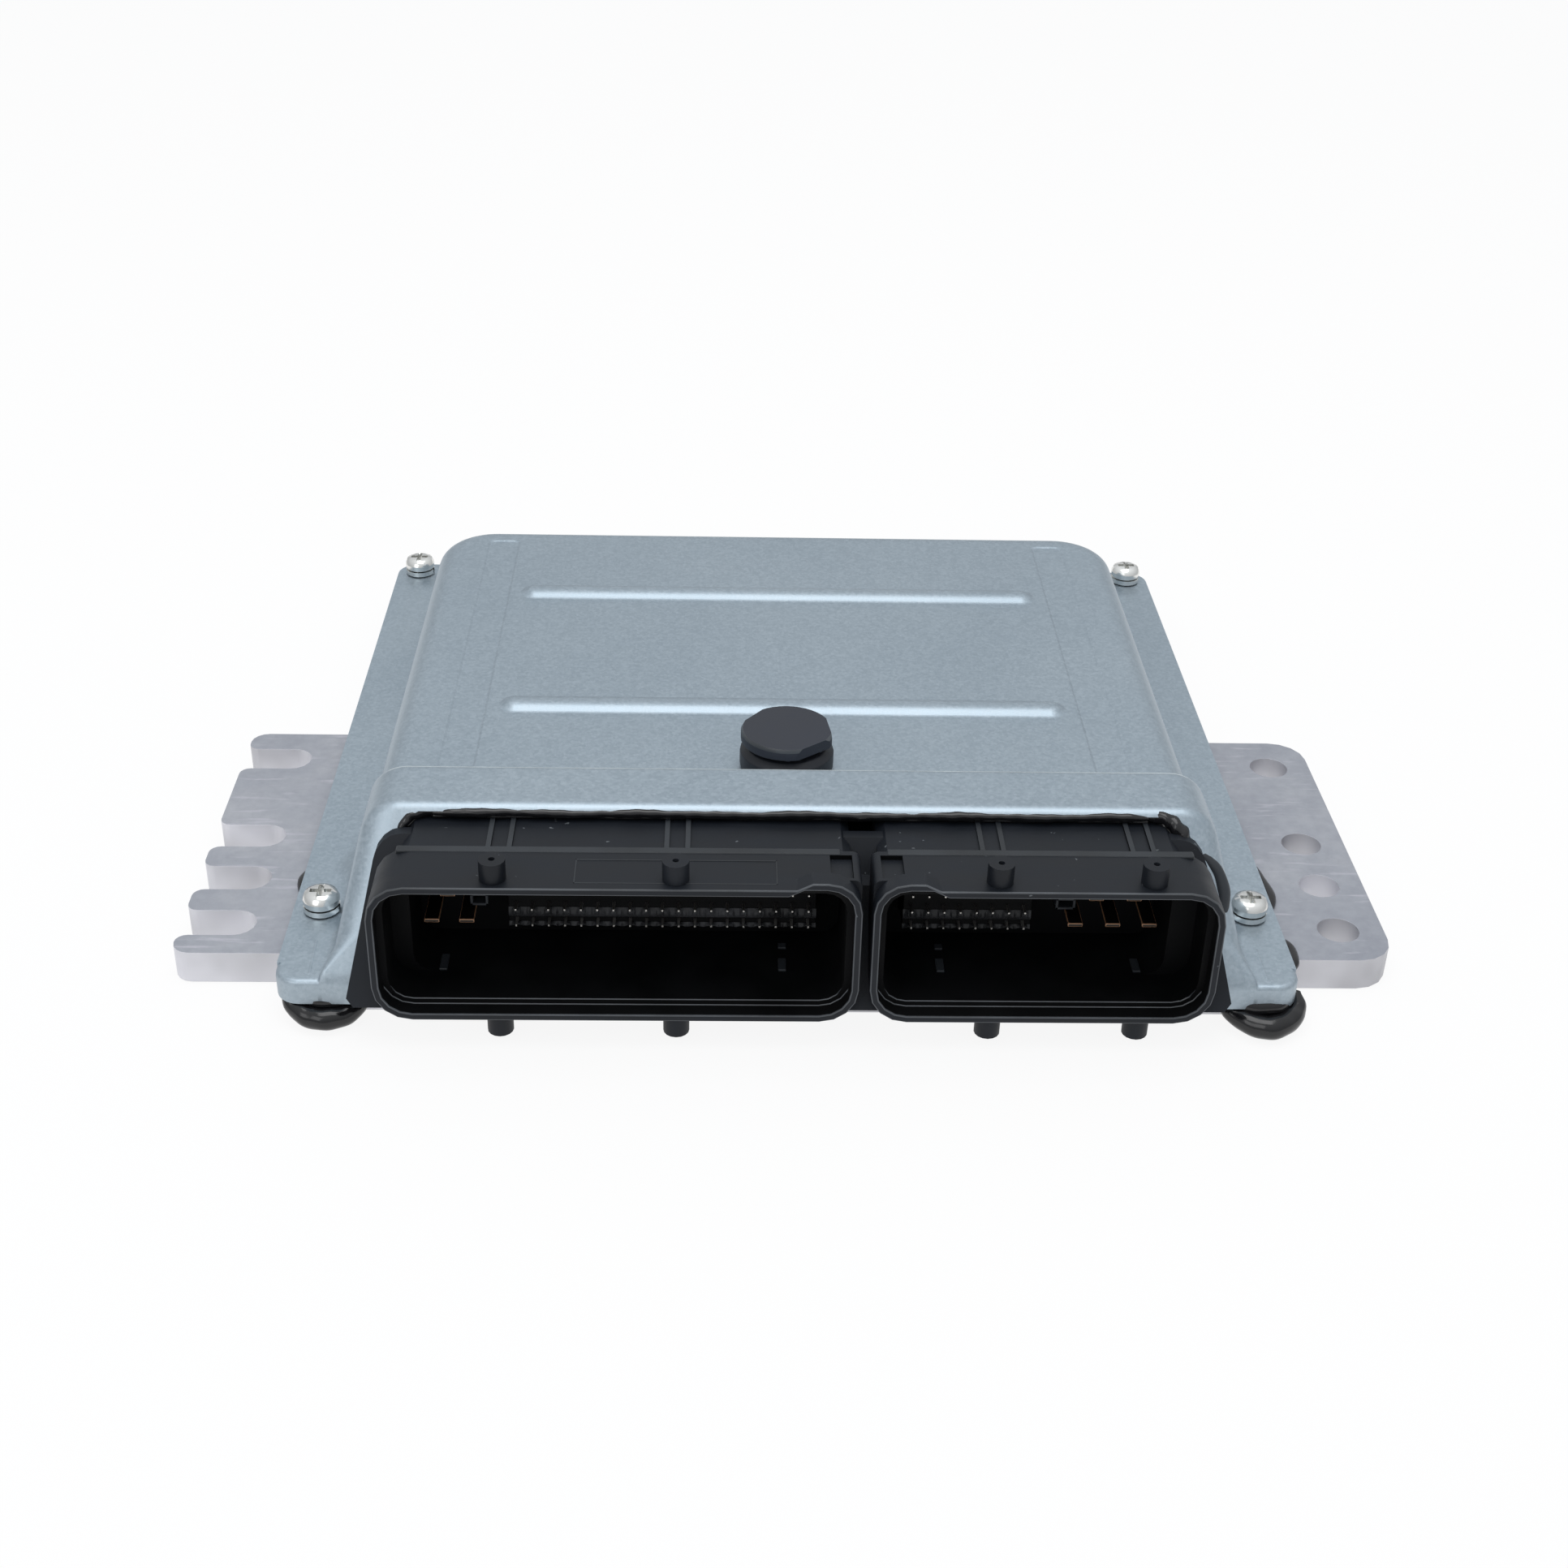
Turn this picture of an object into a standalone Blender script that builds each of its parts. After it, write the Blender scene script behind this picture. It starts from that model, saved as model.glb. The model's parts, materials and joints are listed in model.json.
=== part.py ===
"""Engine control unit: a die-cast base with mounting wings, a pressed cover with a raised hood,
a two-bay connector, a breather and the circuit board inside.

Lengths are in metres. X runs across the unit, Y from the connector towards the back and Z up.
Pieces are modelled from the front edge of the mounting wings, and one empty carries them all,
so that the origin ends up in the middle of the underside."""
import math

import bmesh
import bpy
from mathutils import Matrix, Vector

MM = 0.001
FIT = 0.3 * MM

# Mounting wings of the base
WING_REACH = 23.3 * MM
WING_LENGTH = 82.8 * MM
WING_THICKNESS = 6.7 * MM
WING_CORNER = 7.0 * MM
BOLT_PITCH = 15.5 * MM
BOLT_FIRST = 10.0 * MM
BOLT_STEPS = (0, 1, 2, 4)
BOLT_HOLE = 8.1 * MM
BOLT_INSET = 9.0 * MM
SLOT_WIDTH = 8.2 * MM
SLOT_DEPTH = 14.4 * MM
FINGER_CORNER = 2.2 * MM

# Base tray
BODY_WIDTH = 186.4 * MM
BODY_FRONT = 8.4 * MM
BODY_REAR = 162.2 * MM
BODY_CORNER = 8.0 * MM
RIM_HEIGHT = 8.6 * MM
FRONT_RIM_HEIGHT = 5.9 * MM
FLOOR = 2.6 * MM
RIM_WIDTH = 9.0 * MM
GROOVE_WIDTH = 1.8 * MM
GROOVE_DEPTH = 1.5 * MM
GROOVE_INSET = 6.4 * MM
GATE_INSET = 13.2 * MM
UNDER_RECESS = 0.8 * MM
UNDER_MARGIN = 9.0 * MM
UNDER_RIB = 2.4 * MM
UNDER_RIB_COUNT = 5

# Cover
SHEET = 1.2 * MM
COVER_OVERHANG = 1.5 * MM
COVER_FRONT = 13.5 * MM
COVER_REAR_OVERHANG = 1.8 * MM
COVER_CORNER = 5.0 * MM
SKIRT_DROP = 5.0 * MM
SKIRT_WIDTH = 14.3 * MM
PLATEAU_HEIGHT = 14.6 * MM
FLANGE_WIDTH = 12.1 * MM
REAR_FLANGE_WIDTH = 7.4 * MM
PLATEAU_CORNER = 13.0 * MM
PLATEAU_BEND = 4.5 * MM
PLATEAU_FOOT = 2.0 * MM
PLATEAU_DRAFT = math.radians(8.0)
HOOD_HEIGHT = 26.9 * MM
HOOD_SIDE = 11.7 * MM
HOOD_DRAFT = math.radians(7.0)
HOOD_BEND = 7.5 * MM
HOOD_FOOT = 1.6 * MM
HOOD_FLARE = 5.2 * MM
HOOD_FLARE_HEIGHT = 19.0 * MM
HOOD_FLARE_START = 0.53
HOOD_FLARE_END = 0.68
HOOD_TOP_FRONT = 5.0 * MM
HOOD_TOP_REAR = 18.9 * MM
HOOD_REAR_FOOT = 45.8 * MM
OPENING_SIDE = 2.5 * MM
OPENING_GAP = 0.4 * MM
OPENING_CORNER = 3.0 * MM
SINK = 0.05 * MM
BEAD_MARGIN = 23.85 * MM
BEAD_WIDTH = 7.0 * MM
BEAD_HEIGHT = 1.4 * MM
BEAD_PLACES = (65.0 * MM, 118.8 * MM)
STEP_HEIGHT = 0.3 * MM
STEP_WIDTH = 7.6 * MM
STEP_MARGIN = 16.0 * MM
STEP_REAR_MARGIN = 9.0 * MM

# Cover screws and their spring washers
SCREW_INSET = 4.0 * MM
SCREW_FRONT = 9.7 * MM
SCREW_REAR_INSET = 3.0 * MM
SCREW_SHANK = 4.0 * MM
SCREW_HEAD = 7.1 * MM
SCREW_HEAD_HEIGHT = 2.7 * MM
SCREW_CLEARANCE_HOLE = 4.8 * MM
SCREW_REACH = 6.4 * MM
SPRING_WASHER = 7.0 * MM
SPRING_WASHER_THICKNESS = 1.1 * MM
CROSS_WIDTH = 1.1 * MM
CROSS_SPAN = 4.0 * MM
CROSS_DEPTH = 1.5 * MM

# Breather
VENT_PLACE = 41.2 * MM
VENT_HOLE = 14.0 * MM
VENT_CAP = 18.6 * MM
VENT_CAP_THICKNESS = 2.3 * MM
VENT_GAP = 1.3 * MM
VENT_COLLAR = 18.9 * MM
VENT_COLLAR_HEIGHT = 4.6 * MM
VENT_STEM = 13.0 * MM
VENT_STEM_BORE = 8.0 * MM
VENT_STEM_DEPTH = 5.0 * MM
VENT_RIB_COUNT = 6
VENT_FLAT_DEPTH = 0.9 * MM
MEMBRANE = 10.4 * MM
MEMBRANE_THICKNESS = 0.5 * MM
O_RING_SECTION = 1.2 * MM

# Connector
MOUTH_REACH = 19.7 * MM
SHROUD_BACK = 6.6 * MM
SHROUD_LOW = 6.3 * MM
SHROUD_STEP = 1.0 * MM
BAY_SIDE_LEFT = 17.7 * MM
BAY_SIDE_RIGHT = 16.5 * MM
BAY_SPLIT = (12.0 * MM, 13.9 * MM)
BAY_CORNER = 7.0 * MM
EAR_RISE = 1.4 * MM
EAR_WIDTH = 9.0 * MM
LIP = 1.4 * MM
LIP_DEPTH = 3.2 * MM
SHROUD_WALL = 2.6 * MM
BAY_DEPTH = 25.0 * MM
BLOCK_ROOM = 1.8 * MM
BLOCK_INSET = 4.7 * MM
BLOCK_REAR = 14.0 * MM
BLOCK_SPLIT_GAP = 1.5 * MM
BLOCK_CHAMFER = 1.6 * MM
RIB_WIDTH = 0.9 * MM
RIB_SPREAD = 3.8 * MM
PLATE_THICKNESS = 2.2 * MM
PLATE_TOP_LAP = 4.3 * MM
PLATE_FOOT_LAP = 2.7 * MM
PLATE_LOW = 7.6 * MM
PLATE_STEP = 0.4 * MM
PLATE_CORNER = 5.0 * MM
PEG = 4.8 * MM
PEG_BORE = 1.2 * MM
PEG_RISE = 4.0 * MM
PEG_DROP = 4.4 * MM
PEG_SETBACK = 3.4 * MM
LEFT_PEGS = (22.4 * MM, 33.0 * MM)
RIGHT_PEGS = (22.3 * MM, 13.1 * MM)
LATCH_SIZE = (4.0 * MM, 7.4 * MM)
LATCH_SETBACK = 3.6 * MM
LATCH_DEPTH = 1.0 * MM

# Contacts
PIN_PITCH = 3.0 * MM
ROW_PITCH = 3.5 * MM
ROWS = 4
ROW_DROP = 17.8 * MM
PIN = 0.64 * MM
TIP_DEPTH = 15.8 * MM
TIP_STAND = 1.5 * MM
LEFT_PIN_MARGINS = (24.7 * MM, 8.7 * MM)
RIGHT_PIN_MARGINS = (8.5 * MM, 33.3 * MM)
BLADE_WIDTH = 2.8 * MM
BLADE_THICKNESS = 0.8 * MM
BLADE_TIP_DEPTH = 14.0 * MM
BLADE_ROW_DROPS = (15.6 * MM, 9.8 * MM, 5.0 * MM)
BLADE_COLUMNS_LEFT = (9.5 * MM, 12.7 * MM, 15.9 * MM)
BLADE_COLUMNS_RIGHT = (10.3 * MM, 13.7 * MM, 17.1 * MM, 20.7 * MM, 24.1 * MM)

# Sealant squeezed out under the front corners
SEALANT_SWELL = 3.0 * MM

# Circuit board and what stands on it
BOARD_GAP = 5.2 * MM
BOARD_BEHIND = 3.0 * MM
BOARD_THICKNESS = 1.6 * MM
BOARD_STAND = 2.8 * MM
BOARD_CORNER = 4.0 * MM
BOARD_HOLE = 3.6 * MM
BOARD_HOLE_INSET = 5.0 * MM
BOSS = 7.0 * MM
BOARD_SCREW_SHANK = 3.0 * MM
BOARD_SCREW_HEAD = 5.6 * MM
BOARD_SCREW_HEAD_HEIGHT = 1.9 * MM
BOARD_SCREW_REACH = 4.2 * MM
PAD_SIZE = (46.0 * MM, 24.0 * MM)
PAD_CORNER = 2.0 * MM
CONTROLLER_SIZE = (24.0 * MM, 24.0 * MM, 2.4 * MM)
DRIVER_SIZE = (16.0 * MM, 16.0 * MM, 3.0 * MM)
REGULATOR_SIZE = (10.0 * MM, 9.0 * MM, 4.4 * MM)
SENSOR_SIZE = (12.0 * MM, 12.0 * MM, 6.0 * MM)
CRYSTAL_SIZE = (11.0 * MM, 4.6 * MM, 3.4 * MM)
FOOT_PITCH = 2.0 * MM
CAPACITOR = 10.0 * MM
CAPACITOR_HEIGHT = 12.0 * MM
CHOKE = 16.0 * MM
CHOKE_BORE = 6.4 * MM
CHOKE_HEIGHT = 6.0 * MM

FLANGE_TOP = RIM_HEIGHT + FIT + SHEET
BODY_EDGE = BODY_WIDTH / 2.0
WING_EDGE = BODY_EDGE + WING_REACH
COVER_EDGE = BODY_EDGE + COVER_OVERHANG
COVER_REAR = BODY_REAR + COVER_REAR_OVERHANG
PLATEAU_EDGE = COVER_EDGE - FLANGE_WIDTH
PLATEAU_REAR = COVER_REAR - REAR_FLANGE_WIDTH
HOOD_EDGE = COVER_EDGE - HOOD_SIDE
SKIRT_START = COVER_EDGE - SKIRT_WIDTH
LEFT_BAY = (BAY_SIDE_LEFT - BODY_EDGE, BAY_SPLIT[0])
RIGHT_BAY = (BAY_SPLIT[1], BODY_EDGE - BAY_SIDE_RIGHT)
BLOCK_EDGE = BODY_EDGE - BAY_SIDE_LEFT - BLOCK_INSET
OPENING_TOP = BLOCK_EDGE + OPENING_GAP
OPENING_FOOT = BODY_EDGE - BAY_SIDE_LEFT + OPENING_SIDE
BOARD_EDGE = BODY_EDGE - RIM_WIDTH - BOARD_GAP
BOARD_FRONT = BLOCK_REAR + BOARD_BEHIND
BOARD_REAR = BODY_REAR - RIM_WIDTH - BOARD_GAP
PEG_PLACES = (LEFT_BAY[0] + LEFT_PEGS[0], LEFT_BAY[1] - LEFT_PEGS[1], RIGHT_BAY[0] + RIGHT_PEGS[0],
              RIGHT_BAY[1] - RIGHT_PEGS[1])
BLOCK_TOP = FLANGE_TOP + HOOD_HEIGHT - SHEET - BLOCK_ROOM
SHROUD_HIGH = BLOCK_TOP + SHROUD_STEP
PLATE_HIGH = BLOCK_TOP - PLATE_STEP
ROW_FIRST = BLOCK_TOP - ROW_DROP
BLADE_ROWS = [BLOCK_TOP - drop for drop in BLADE_ROW_DROPS]
DATUM = (MOUTH_REACH - COVER_REAR) / 2.0
HOOD_FRONT_SLOPE = (COVER_FRONT + HOOD_TOP_FRONT) / HOOD_HEIGHT
HOOD_REAR_SLOPE = (HOOD_REAR_FOOT - HOOD_TOP_REAR) / HOOD_HEIGHT

for old in list(bpy.data.objects):
    bpy.data.objects.remove(old, do_unlink=True)

unit = bpy.data.objects.new("unit_frame", None)
unit.location = (0.0, DATUM, 0.0)
bpy.context.scene.collection.objects.link(unit)


def finish(name, colour, roughness, metallic):
    """A plain surface: its colour, roughness and how metallic it is."""
    surface = bpy.data.materials.new(name)
    surface.use_nodes = True
    shader = surface.node_tree.nodes["Principled BSDF"]
    shader.inputs["Base Color"].default_value = (*colour, 1.0)
    shader.inputs["Roughness"].default_value = roughness
    shader.inputs["Metallic"].default_value = metallic
    surface.diffuse_color = (*colour, 1.0)
    return surface


CAST = finish("cast_aluminium", (0.55, 0.55, 0.60), 0.55, 0.8)
ZINC_SHEET = finish("zinc_coated_sheet", (0.34, 0.41, 0.44), 0.42, 0.8)
MOULDING = finish("black_moulding", (0.022, 0.026, 0.032), 0.5, 0.0)
BREATHER = finish("grey_black_moulding", (0.05, 0.058, 0.075), 0.55, 0.0)
BRIGHT_ZINC = finish("bright_zinc", (0.72, 0.72, 0.70), 0.25, 1.0)
CONTACT = finish("tinned_contact", (0.60, 0.50, 0.42), 0.3, 1.0)
SEALANT = finish("black_sealant", (0.012, 0.012, 0.013), 0.18, 0.0)
RUBBER = finish("soft_rubber", (0.02, 0.02, 0.02), 0.7, 0.0)
FELT = finish("breather_film", (0.75, 0.75, 0.74), 0.8, 0.0)
BOARD = finish("board_laminate", (0.02, 0.11, 0.05), 0.4, 0.0)
CHIP = finish("chip_body", (0.015, 0.015, 0.016), 0.55, 0.0)
CAN = finish("aluminium_can", (0.62, 0.63, 0.65), 0.3, 0.9)
FERRITE = finish("ferrite", (0.07, 0.07, 0.075), 0.6, 0.0)
PAD = finish("thermal_pad", (0.33, 0.35, 0.42), 0.8, 0.0)


def place(name, mesh, surface=None):
    """An object for a mesh, carried by the unit's empty."""
    item = bpy.data.objects.new(name, mesh)
    bpy.context.scene.collection.objects.link(item)
    item.parent = unit
    if surface:
        item.data.materials.append(surface)
    return item


def mesh_from(name, form, surface=None, smooth=False):
    """Turns a finished bmesh into an object with its faces outwards."""
    bmesh.ops.remove_doubles(form, verts=form.verts, dist=1e-6)
    bmesh.ops.recalc_face_normals(form, faces=form.faces)
    mesh = bpy.data.meshes.new(name)
    form.to_mesh(mesh)
    form.free()
    if smooth:
        mesh.shade_smooth()
        mesh.set_sharp_from_angle(angle=math.radians(32.0))
    return place(name, mesh, surface)


def corner_arc(before, corner, after, radius, steps):
    """Points of a round between two straight runs that meet at a corner."""
    corner = Vector(corner)
    back = (Vector(before) - corner).normalized()
    ahead = (Vector(after) - corner).normalized()
    half = back.angle(ahead) / 2.0
    if radius <= 0.0 or half > math.radians(89.5):
        return [tuple(corner)]
    reach = radius / math.tan(half)
    centre = corner + (back + ahead).normalized() * (radius / math.sin(half))
    start = corner + back * reach - centre
    end = corner + ahead * reach - centre
    sweep = start.angle(end)
    side = 1.0 if start.x * end.y - start.y * end.x > 0.0 else -1.0
    points = []
    for step in range(steps + 1):
        turn = Matrix.Rotation(side * sweep * step / steps, 2)
        points.append(tuple(centre + turn @ start))
    return points


def rounded(corners, steps=4):
    """A closed outline from corners given as (x, y, radius)."""
    points = []
    count = len(corners)
    for index, (x, y, radius) in enumerate(corners):
        before = corners[index - 1][:2]
        after = corners[(index + 1) % count][:2]
        points.extend(corner_arc(before, (x, y), after, radius, steps))
    return points


def rounded_run(points, radii, steps=4):
    """An open run of points with its inner corners rounded."""
    run = [tuple(points[0])]
    for index in range(1, len(points) - 1):
        run.extend(corner_arc(points[index - 1], points[index], points[index + 1], radii[index - 1], steps))
    run.append(tuple(points[-1]))
    return run


def box_outline(x0, x1, y0, y1, radius=0.0, steps=4):
    """A rectangle with equal rounds at its corners."""
    corners = ((x0, y0, radius), (x1, y0, radius), (x1, y1, radius), (x0, y1, radius))
    return rounded(corners, steps)


def prism(name, outline, low, high, surface=None, along="Z", lean=None):
    """An outline extruded along Z, or along Y where it is drawn in X and Z. A lean moves each point in Y."""
    form = bmesh.new()
    corners = []
    for a, b in outline:
        shift = lean(b) if lean else 0.0
        corners.append(form.verts.new((a, b, low) if along == "Z" else (a, low + shift, b)))
    face = form.faces.new(corners)
    moved = bmesh.ops.extrude_face_region(form, geom=[face])["geom"]
    step = Vector((0.0, 0.0, high - low)) if along == "Z" else Vector((0.0, high - low, 0.0))
    bmesh.ops.translate(form, verts=[v for v in moved if isinstance(v, bmesh.types.BMVert)], vec=step)
    return mesh_from(name, form, surface)


def turned(name, profile, centre, surface=None, segments=32):
    """A closed profile of (radius, height) points spun about a vertical axis through centre."""
    form = bmesh.new()
    points = [form.verts.new((radius, 0.0, height)) for radius, height in profile]
    edges = [form.edges.new((a, b)) for a, b in zip(points, points[1:] + points[:1])]
    bmesh.ops.spin(form, geom=points + edges, cent=(0, 0, 0), axis=(0, 0, 1), dvec=(0, 0, 0),
                   angle=math.tau, steps=segments, use_merge=True, use_duplicate=False)
    bmesh.ops.remove_doubles(form, verts=form.verts, dist=1e-6)
    loose = [edge for edge in form.edges if not edge.link_faces]
    bmesh.ops.delete(form, geom=loose, context="EDGES")
    bmesh.ops.translate(form, verts=form.verts, vec=Vector(centre))
    return mesh_from(name, form, surface, smooth=True)


def round_bar(name, radius, low, high, centre, surface=None, segments=32):
    """A plain upright cylinder."""
    x, y = centre
    profile = ((0.0, low), (radius, low), (radius, high), (0.0, high))
    return turned(name, profile, (x, y, 0.0), surface, segments)


def gather(name, pieces):
    """Joins separate cutters into one helper object."""
    form = bmesh.new()
    for piece in pieces:
        form.from_mesh(piece.data)
        bpy.data.objects.remove(piece, do_unlink=True)
    mesh = bpy.data.meshes.new(name)
    form.to_mesh(mesh)
    form.free()
    return place(name, mesh)


def combine(target, helper, operation):
    """Cuts, adds or intersects a helper shape, which is then only a guide."""
    step = target.modifiers.new(helper.name, "BOOLEAN")
    step.operation = operation
    step.object = helper
    step.solver = "EXACT"
    helper.hide_render = True
    helper.display_type = "WIRE"


def both_sides(make):
    """Makes a piece for the left side and one for the right."""
    return [make(side, label) for side, label in ((-1.0, "left"), (1.0, "right"))]


def bolt_places():
    """Distances of the wing's bolt holes from its front edge. A shorter wing holds fewer."""
    last = WING_LENGTH - WING_CORNER / 2.0 - SLOT_WIDTH / 2.0
    places = [BOLT_FIRST + step * BOLT_PITCH for step in BOLT_STEPS]
    return [place_y for place_y in places if place_y <= last]


def wing_outlines():
    """The slotted left wing and the drilled right wing, both rooted inside the tray's side."""
    root = BODY_WIDTH / 2.0 - RIM_WIDTH / 2.0
    edge = WING_EDGE
    right = rounded(((root, 0.0, 0.0), (edge, 0.0, WING_CORNER), (edge, WING_LENGTH, WING_CORNER),
                     (root, WING_LENGTH, 0.0)))
    corners = [(-root, 0.0, 0.0), (-root, WING_LENGTH, 0.0), (-edge, WING_LENGTH, WING_CORNER / 2.0)]
    half = SLOT_WIDTH / 2.0
    bottom = -edge + SLOT_DEPTH
    for place_y in reversed(bolt_places()):
        corners.append((-edge, place_y + half, FINGER_CORNER))
        corners.append((bottom, place_y + half, half * 0.98))
        corners.append((bottom, place_y - half, half * 0.98))
        corners.append((-edge, place_y - half, FINGER_CORNER))
    corners.append((-edge, 0.0, WING_CORNER / 2.0))
    return rounded(corners), right


def make_base():
    """Tray, wings, rim, sealing groove, bosses and the cored underside of the casting."""
    half = BODY_WIDTH / 2.0
    outline = rounded(((-half, -BODY_FRONT, BODY_CORNER), (half, -BODY_FRONT, BODY_CORNER),
                       (half, BODY_REAR, BODY_CORNER), (-half, BODY_REAR, BODY_CORNER)))
    base = prism("base_casting", outline, 0.0, RIM_HEIGHT, CAST)
    left, right = wing_outlines()
    combine(base, prism("form_left_wing", left, 0.0, WING_THICKNESS), "UNION")
    combine(base, prism("form_right_wing", right, 0.0, WING_THICKNESS), "UNION")
    inner = half - RIM_WIDTH
    pocket = box_outline(-inner, inner, 0.0, BODY_REAR - RIM_WIDTH, BODY_CORNER / 2.0)
    cuts = [prism("pocket", pocket, FLOOR, RIM_HEIGHT * 2.0)]
    combine(base, gather("cut_tray_pocket", cuts), "DIFFERENCE")
    gate = box_outline(GATE_INSET - BODY_EDGE, BODY_EDGE - GATE_INSET, -BODY_FRONT * 2.0, BODY_CORNER)
    combine(base, prism("cut_connector_gate", gate, FRONT_RIM_HEIGHT, RIM_HEIGHT * 2.0), "DIFFERENCE")
    combine(base, sealing_ring("cut_sealing_groove", GROOVE_WIDTH, RIM_HEIGHT - GROOVE_DEPTH, RIM_HEIGHT * 2.0),
            "DIFFERENCE")
    bosses = [round_bar("boss", BOSS / 2.0, FLOOR / 2.0, FLOOR + BOARD_STAND, spot, segments=20)
              for spot in board_holes()]
    combine(base, gather("form_board_bosses", bosses), "UNION")
    drill = BOARD_SCREW_SHANK / 2.0 + FIT
    board_top = FLOOR + BOARD_STAND + FIT + BOARD_THICKNESS
    low = board_top + FIT - BOARD_SCREW_REACH - FIT
    holes = [round_bar("drill", drill, low, RIM_HEIGHT, spot, segments=16) for spot in board_holes()]
    drill = SCREW_SHANK / 2.0 + FIT
    low = FLANGE_TOP + FIT - SCREW_REACH - FIT
    holes += [round_bar("drill", drill, low, RIM_HEIGHT * 2.0, spot, segments=16) for spot in cover_screw_places()]
    bolt_x = WING_EDGE - BOLT_INSET
    holes += [round_bar("drill", BOLT_HOLE / 2.0, -RIM_HEIGHT, RIM_HEIGHT, (bolt_x, y), segments=28)
              for y in bolt_places()]
    combine(base, gather("cut_base_holes", holes), "DIFFERENCE")
    combine(base, gather("cut_underside", underside_fields()), "DIFFERENCE")
    return base


def underside_fields():
    """Shallow cored fields between the lengthways ribs under the tray."""
    half = BODY_WIDTH / 2.0 - UNDER_MARGIN
    fields = UNDER_RIB_COUNT + 1
    width = (2.0 * half - UNDER_RIB_COUNT * UNDER_RIB) / fields
    pieces = []
    for index in range(fields):
        x0 = -half + index * (width + UNDER_RIB)
        outline = box_outline(x0, x0 + width, UNDER_MARGIN, BODY_REAR - UNDER_MARGIN, UNDER_RIB, 2)
        pieces.append(prism("field", outline, -RIM_HEIGHT, UNDER_RECESS))
    return pieces


def sealing_ring(name, width, low, high, surface=None):
    """A horseshoe that runs round the rim from one end of the connector gate to the other."""
    outer = BODY_WIDTH / 2.0 - GROOVE_INSET
    spare = (GROOVE_WIDTH - width) / 2.0
    path = []
    for inset in (spare, spare + width):
        side = outer - inset
        back = BODY_REAR - GROOVE_INSET - inset
        bend = BODY_CORNER * 0.75 - inset
        run = rounded_run(((-side, 0.0), (-side, back), (side, back), (side, 0.0)), (bend, bend), 4)
        path.append(run)
    outline = path[0] + list(reversed(path[1]))
    return prism(name, outline, low, high, surface)


def cover_screw_places():
    """Centres of the four cover screws."""
    half = BODY_EDGE - SCREW_INSET
    return [(side * half, y) for y in (SCREW_FRONT, BODY_REAR - SCREW_REAR_INSET) for side in (-1.0, 1.0)]


def board_holes():
    """Centres of the four board screws."""
    x = BOARD_EDGE - BOARD_HOLE_INSET
    return [(side * x, y) for y in (BOARD_FRONT + BOARD_HOLE_INSET, BOARD_REAR - BOARD_HOLE_INSET)
            for side in (-1.0, 1.0)]


def wall_run(reach, height, draft, foot, bend, wall, steps=4):
    """Half section of a pressed wall as (offset, height): foot round, drafted wall and top bend.
    The offset is measured outwards from where the outer wall meets the flange."""
    slope = math.tan(draft)
    sink = wall / math.cos(draft)
    low = -wall - SINK
    foot_x = -low * slope - sink
    top_x = -(height - wall) * slope - sink
    points = ((reach, low), (foot_x, low), (top_x, height - wall), (top_x - 4.0 * bend, height - wall))
    return rounded_run(points, (foot + wall, max(bend - wall, bend / 4.0)), steps)[:-1]


def loft(name, rings):
    """A closed solid through rings of equal point counts."""
    form = bmesh.new()
    loops = [[form.verts.new(point) for point in ring] for ring in rings]
    for lower, upper in zip(loops, loops[1:]):
        count = len(lower)
        for index in range(count):
            after = (index + 1) % count
            form.faces.new((lower[index], lower[after], upper[after], upper[index]))
    form.faces.new(list(reversed(loops[0])))
    form.faces.new(loops[-1])
    return mesh_from(name, form)


def plateau_form(name, wall, low):
    """The drafted plateau of the cover, or with a wall the hollow under it."""
    half = PLATEAU_EDGE
    run = wall_run(PLATEAU_FOOT + wall, PLATEAU_HEIGHT, PLATEAU_DRAFT, PLATEAU_FOOT, PLATEAU_BEND, wall)
    front = HOOD_TOP_REAR + SHEET
    heights = [low - FLANGE_TOP] + [height for _, height in run]
    offsets = [run[0][0]] + [offset for offset, _ in run]
    rings = []
    for offset, height in zip(offsets, heights):
        outline = box_outline(-half - offset, half + offset, front, PLATEAU_REAR + offset,
                              max(PLATEAU_CORNER + offset, PLATEAU_BEND), 5)
        rings.append([(x, y, FLANGE_TOP + height) for x, y in outline])
    return loft(name, rings)


def hood_form(name, wall, low):
    """The raised hood: flanks that flare behind the front screws, a slanting front and a slanting back."""
    half = HOOD_EDGE
    run = wall_run(HOOD_FOOT + wall, HOOD_HEIGHT, HOOD_DRAFT, HOOD_FOOT, HOOD_BEND, wall, 5)
    front_wall = wall * math.hypot(1.0, HOOD_FRONT_SLOPE)
    rear_wall = wall * math.hypot(1.0, HOOD_REAR_SLOPE)
    heights = [low - FLANGE_TOP] + [height for _, height in run]
    offsets = [run[0][0]] + [offset for offset, _ in run]
    rings = []
    for offset, height in zip(offsets, heights):
        z = FLANGE_TOP + height
        rise = max(height, 0.0)
        x = half + offset
        wide = x + HOOD_FLARE * max(1.0 - rise / HOOD_FLARE_HEIGHT, 0.01)
        front = rise * HOOD_FRONT_SLOPE + front_wall - COVER_FRONT
        if height <= 0.0:
            front = wall + 4.0 * SINK - COVER_FRONT
        rear = HOOD_REAR_FOOT - rise * HOOD_REAR_SLOPE - rear_wall
        near = front + (rear - front) * HOOD_FLARE_START
        far = front + (rear - front) * HOOD_FLARE_END
        plan = ((-x, front), (x, front), (x, near), (wide, far), (wide, rear), (-wide, rear), (-wide, far), (-x, near))
        rings.append([(px, py, z) for px, py in plan])
    return loft(name, rings)


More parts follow.
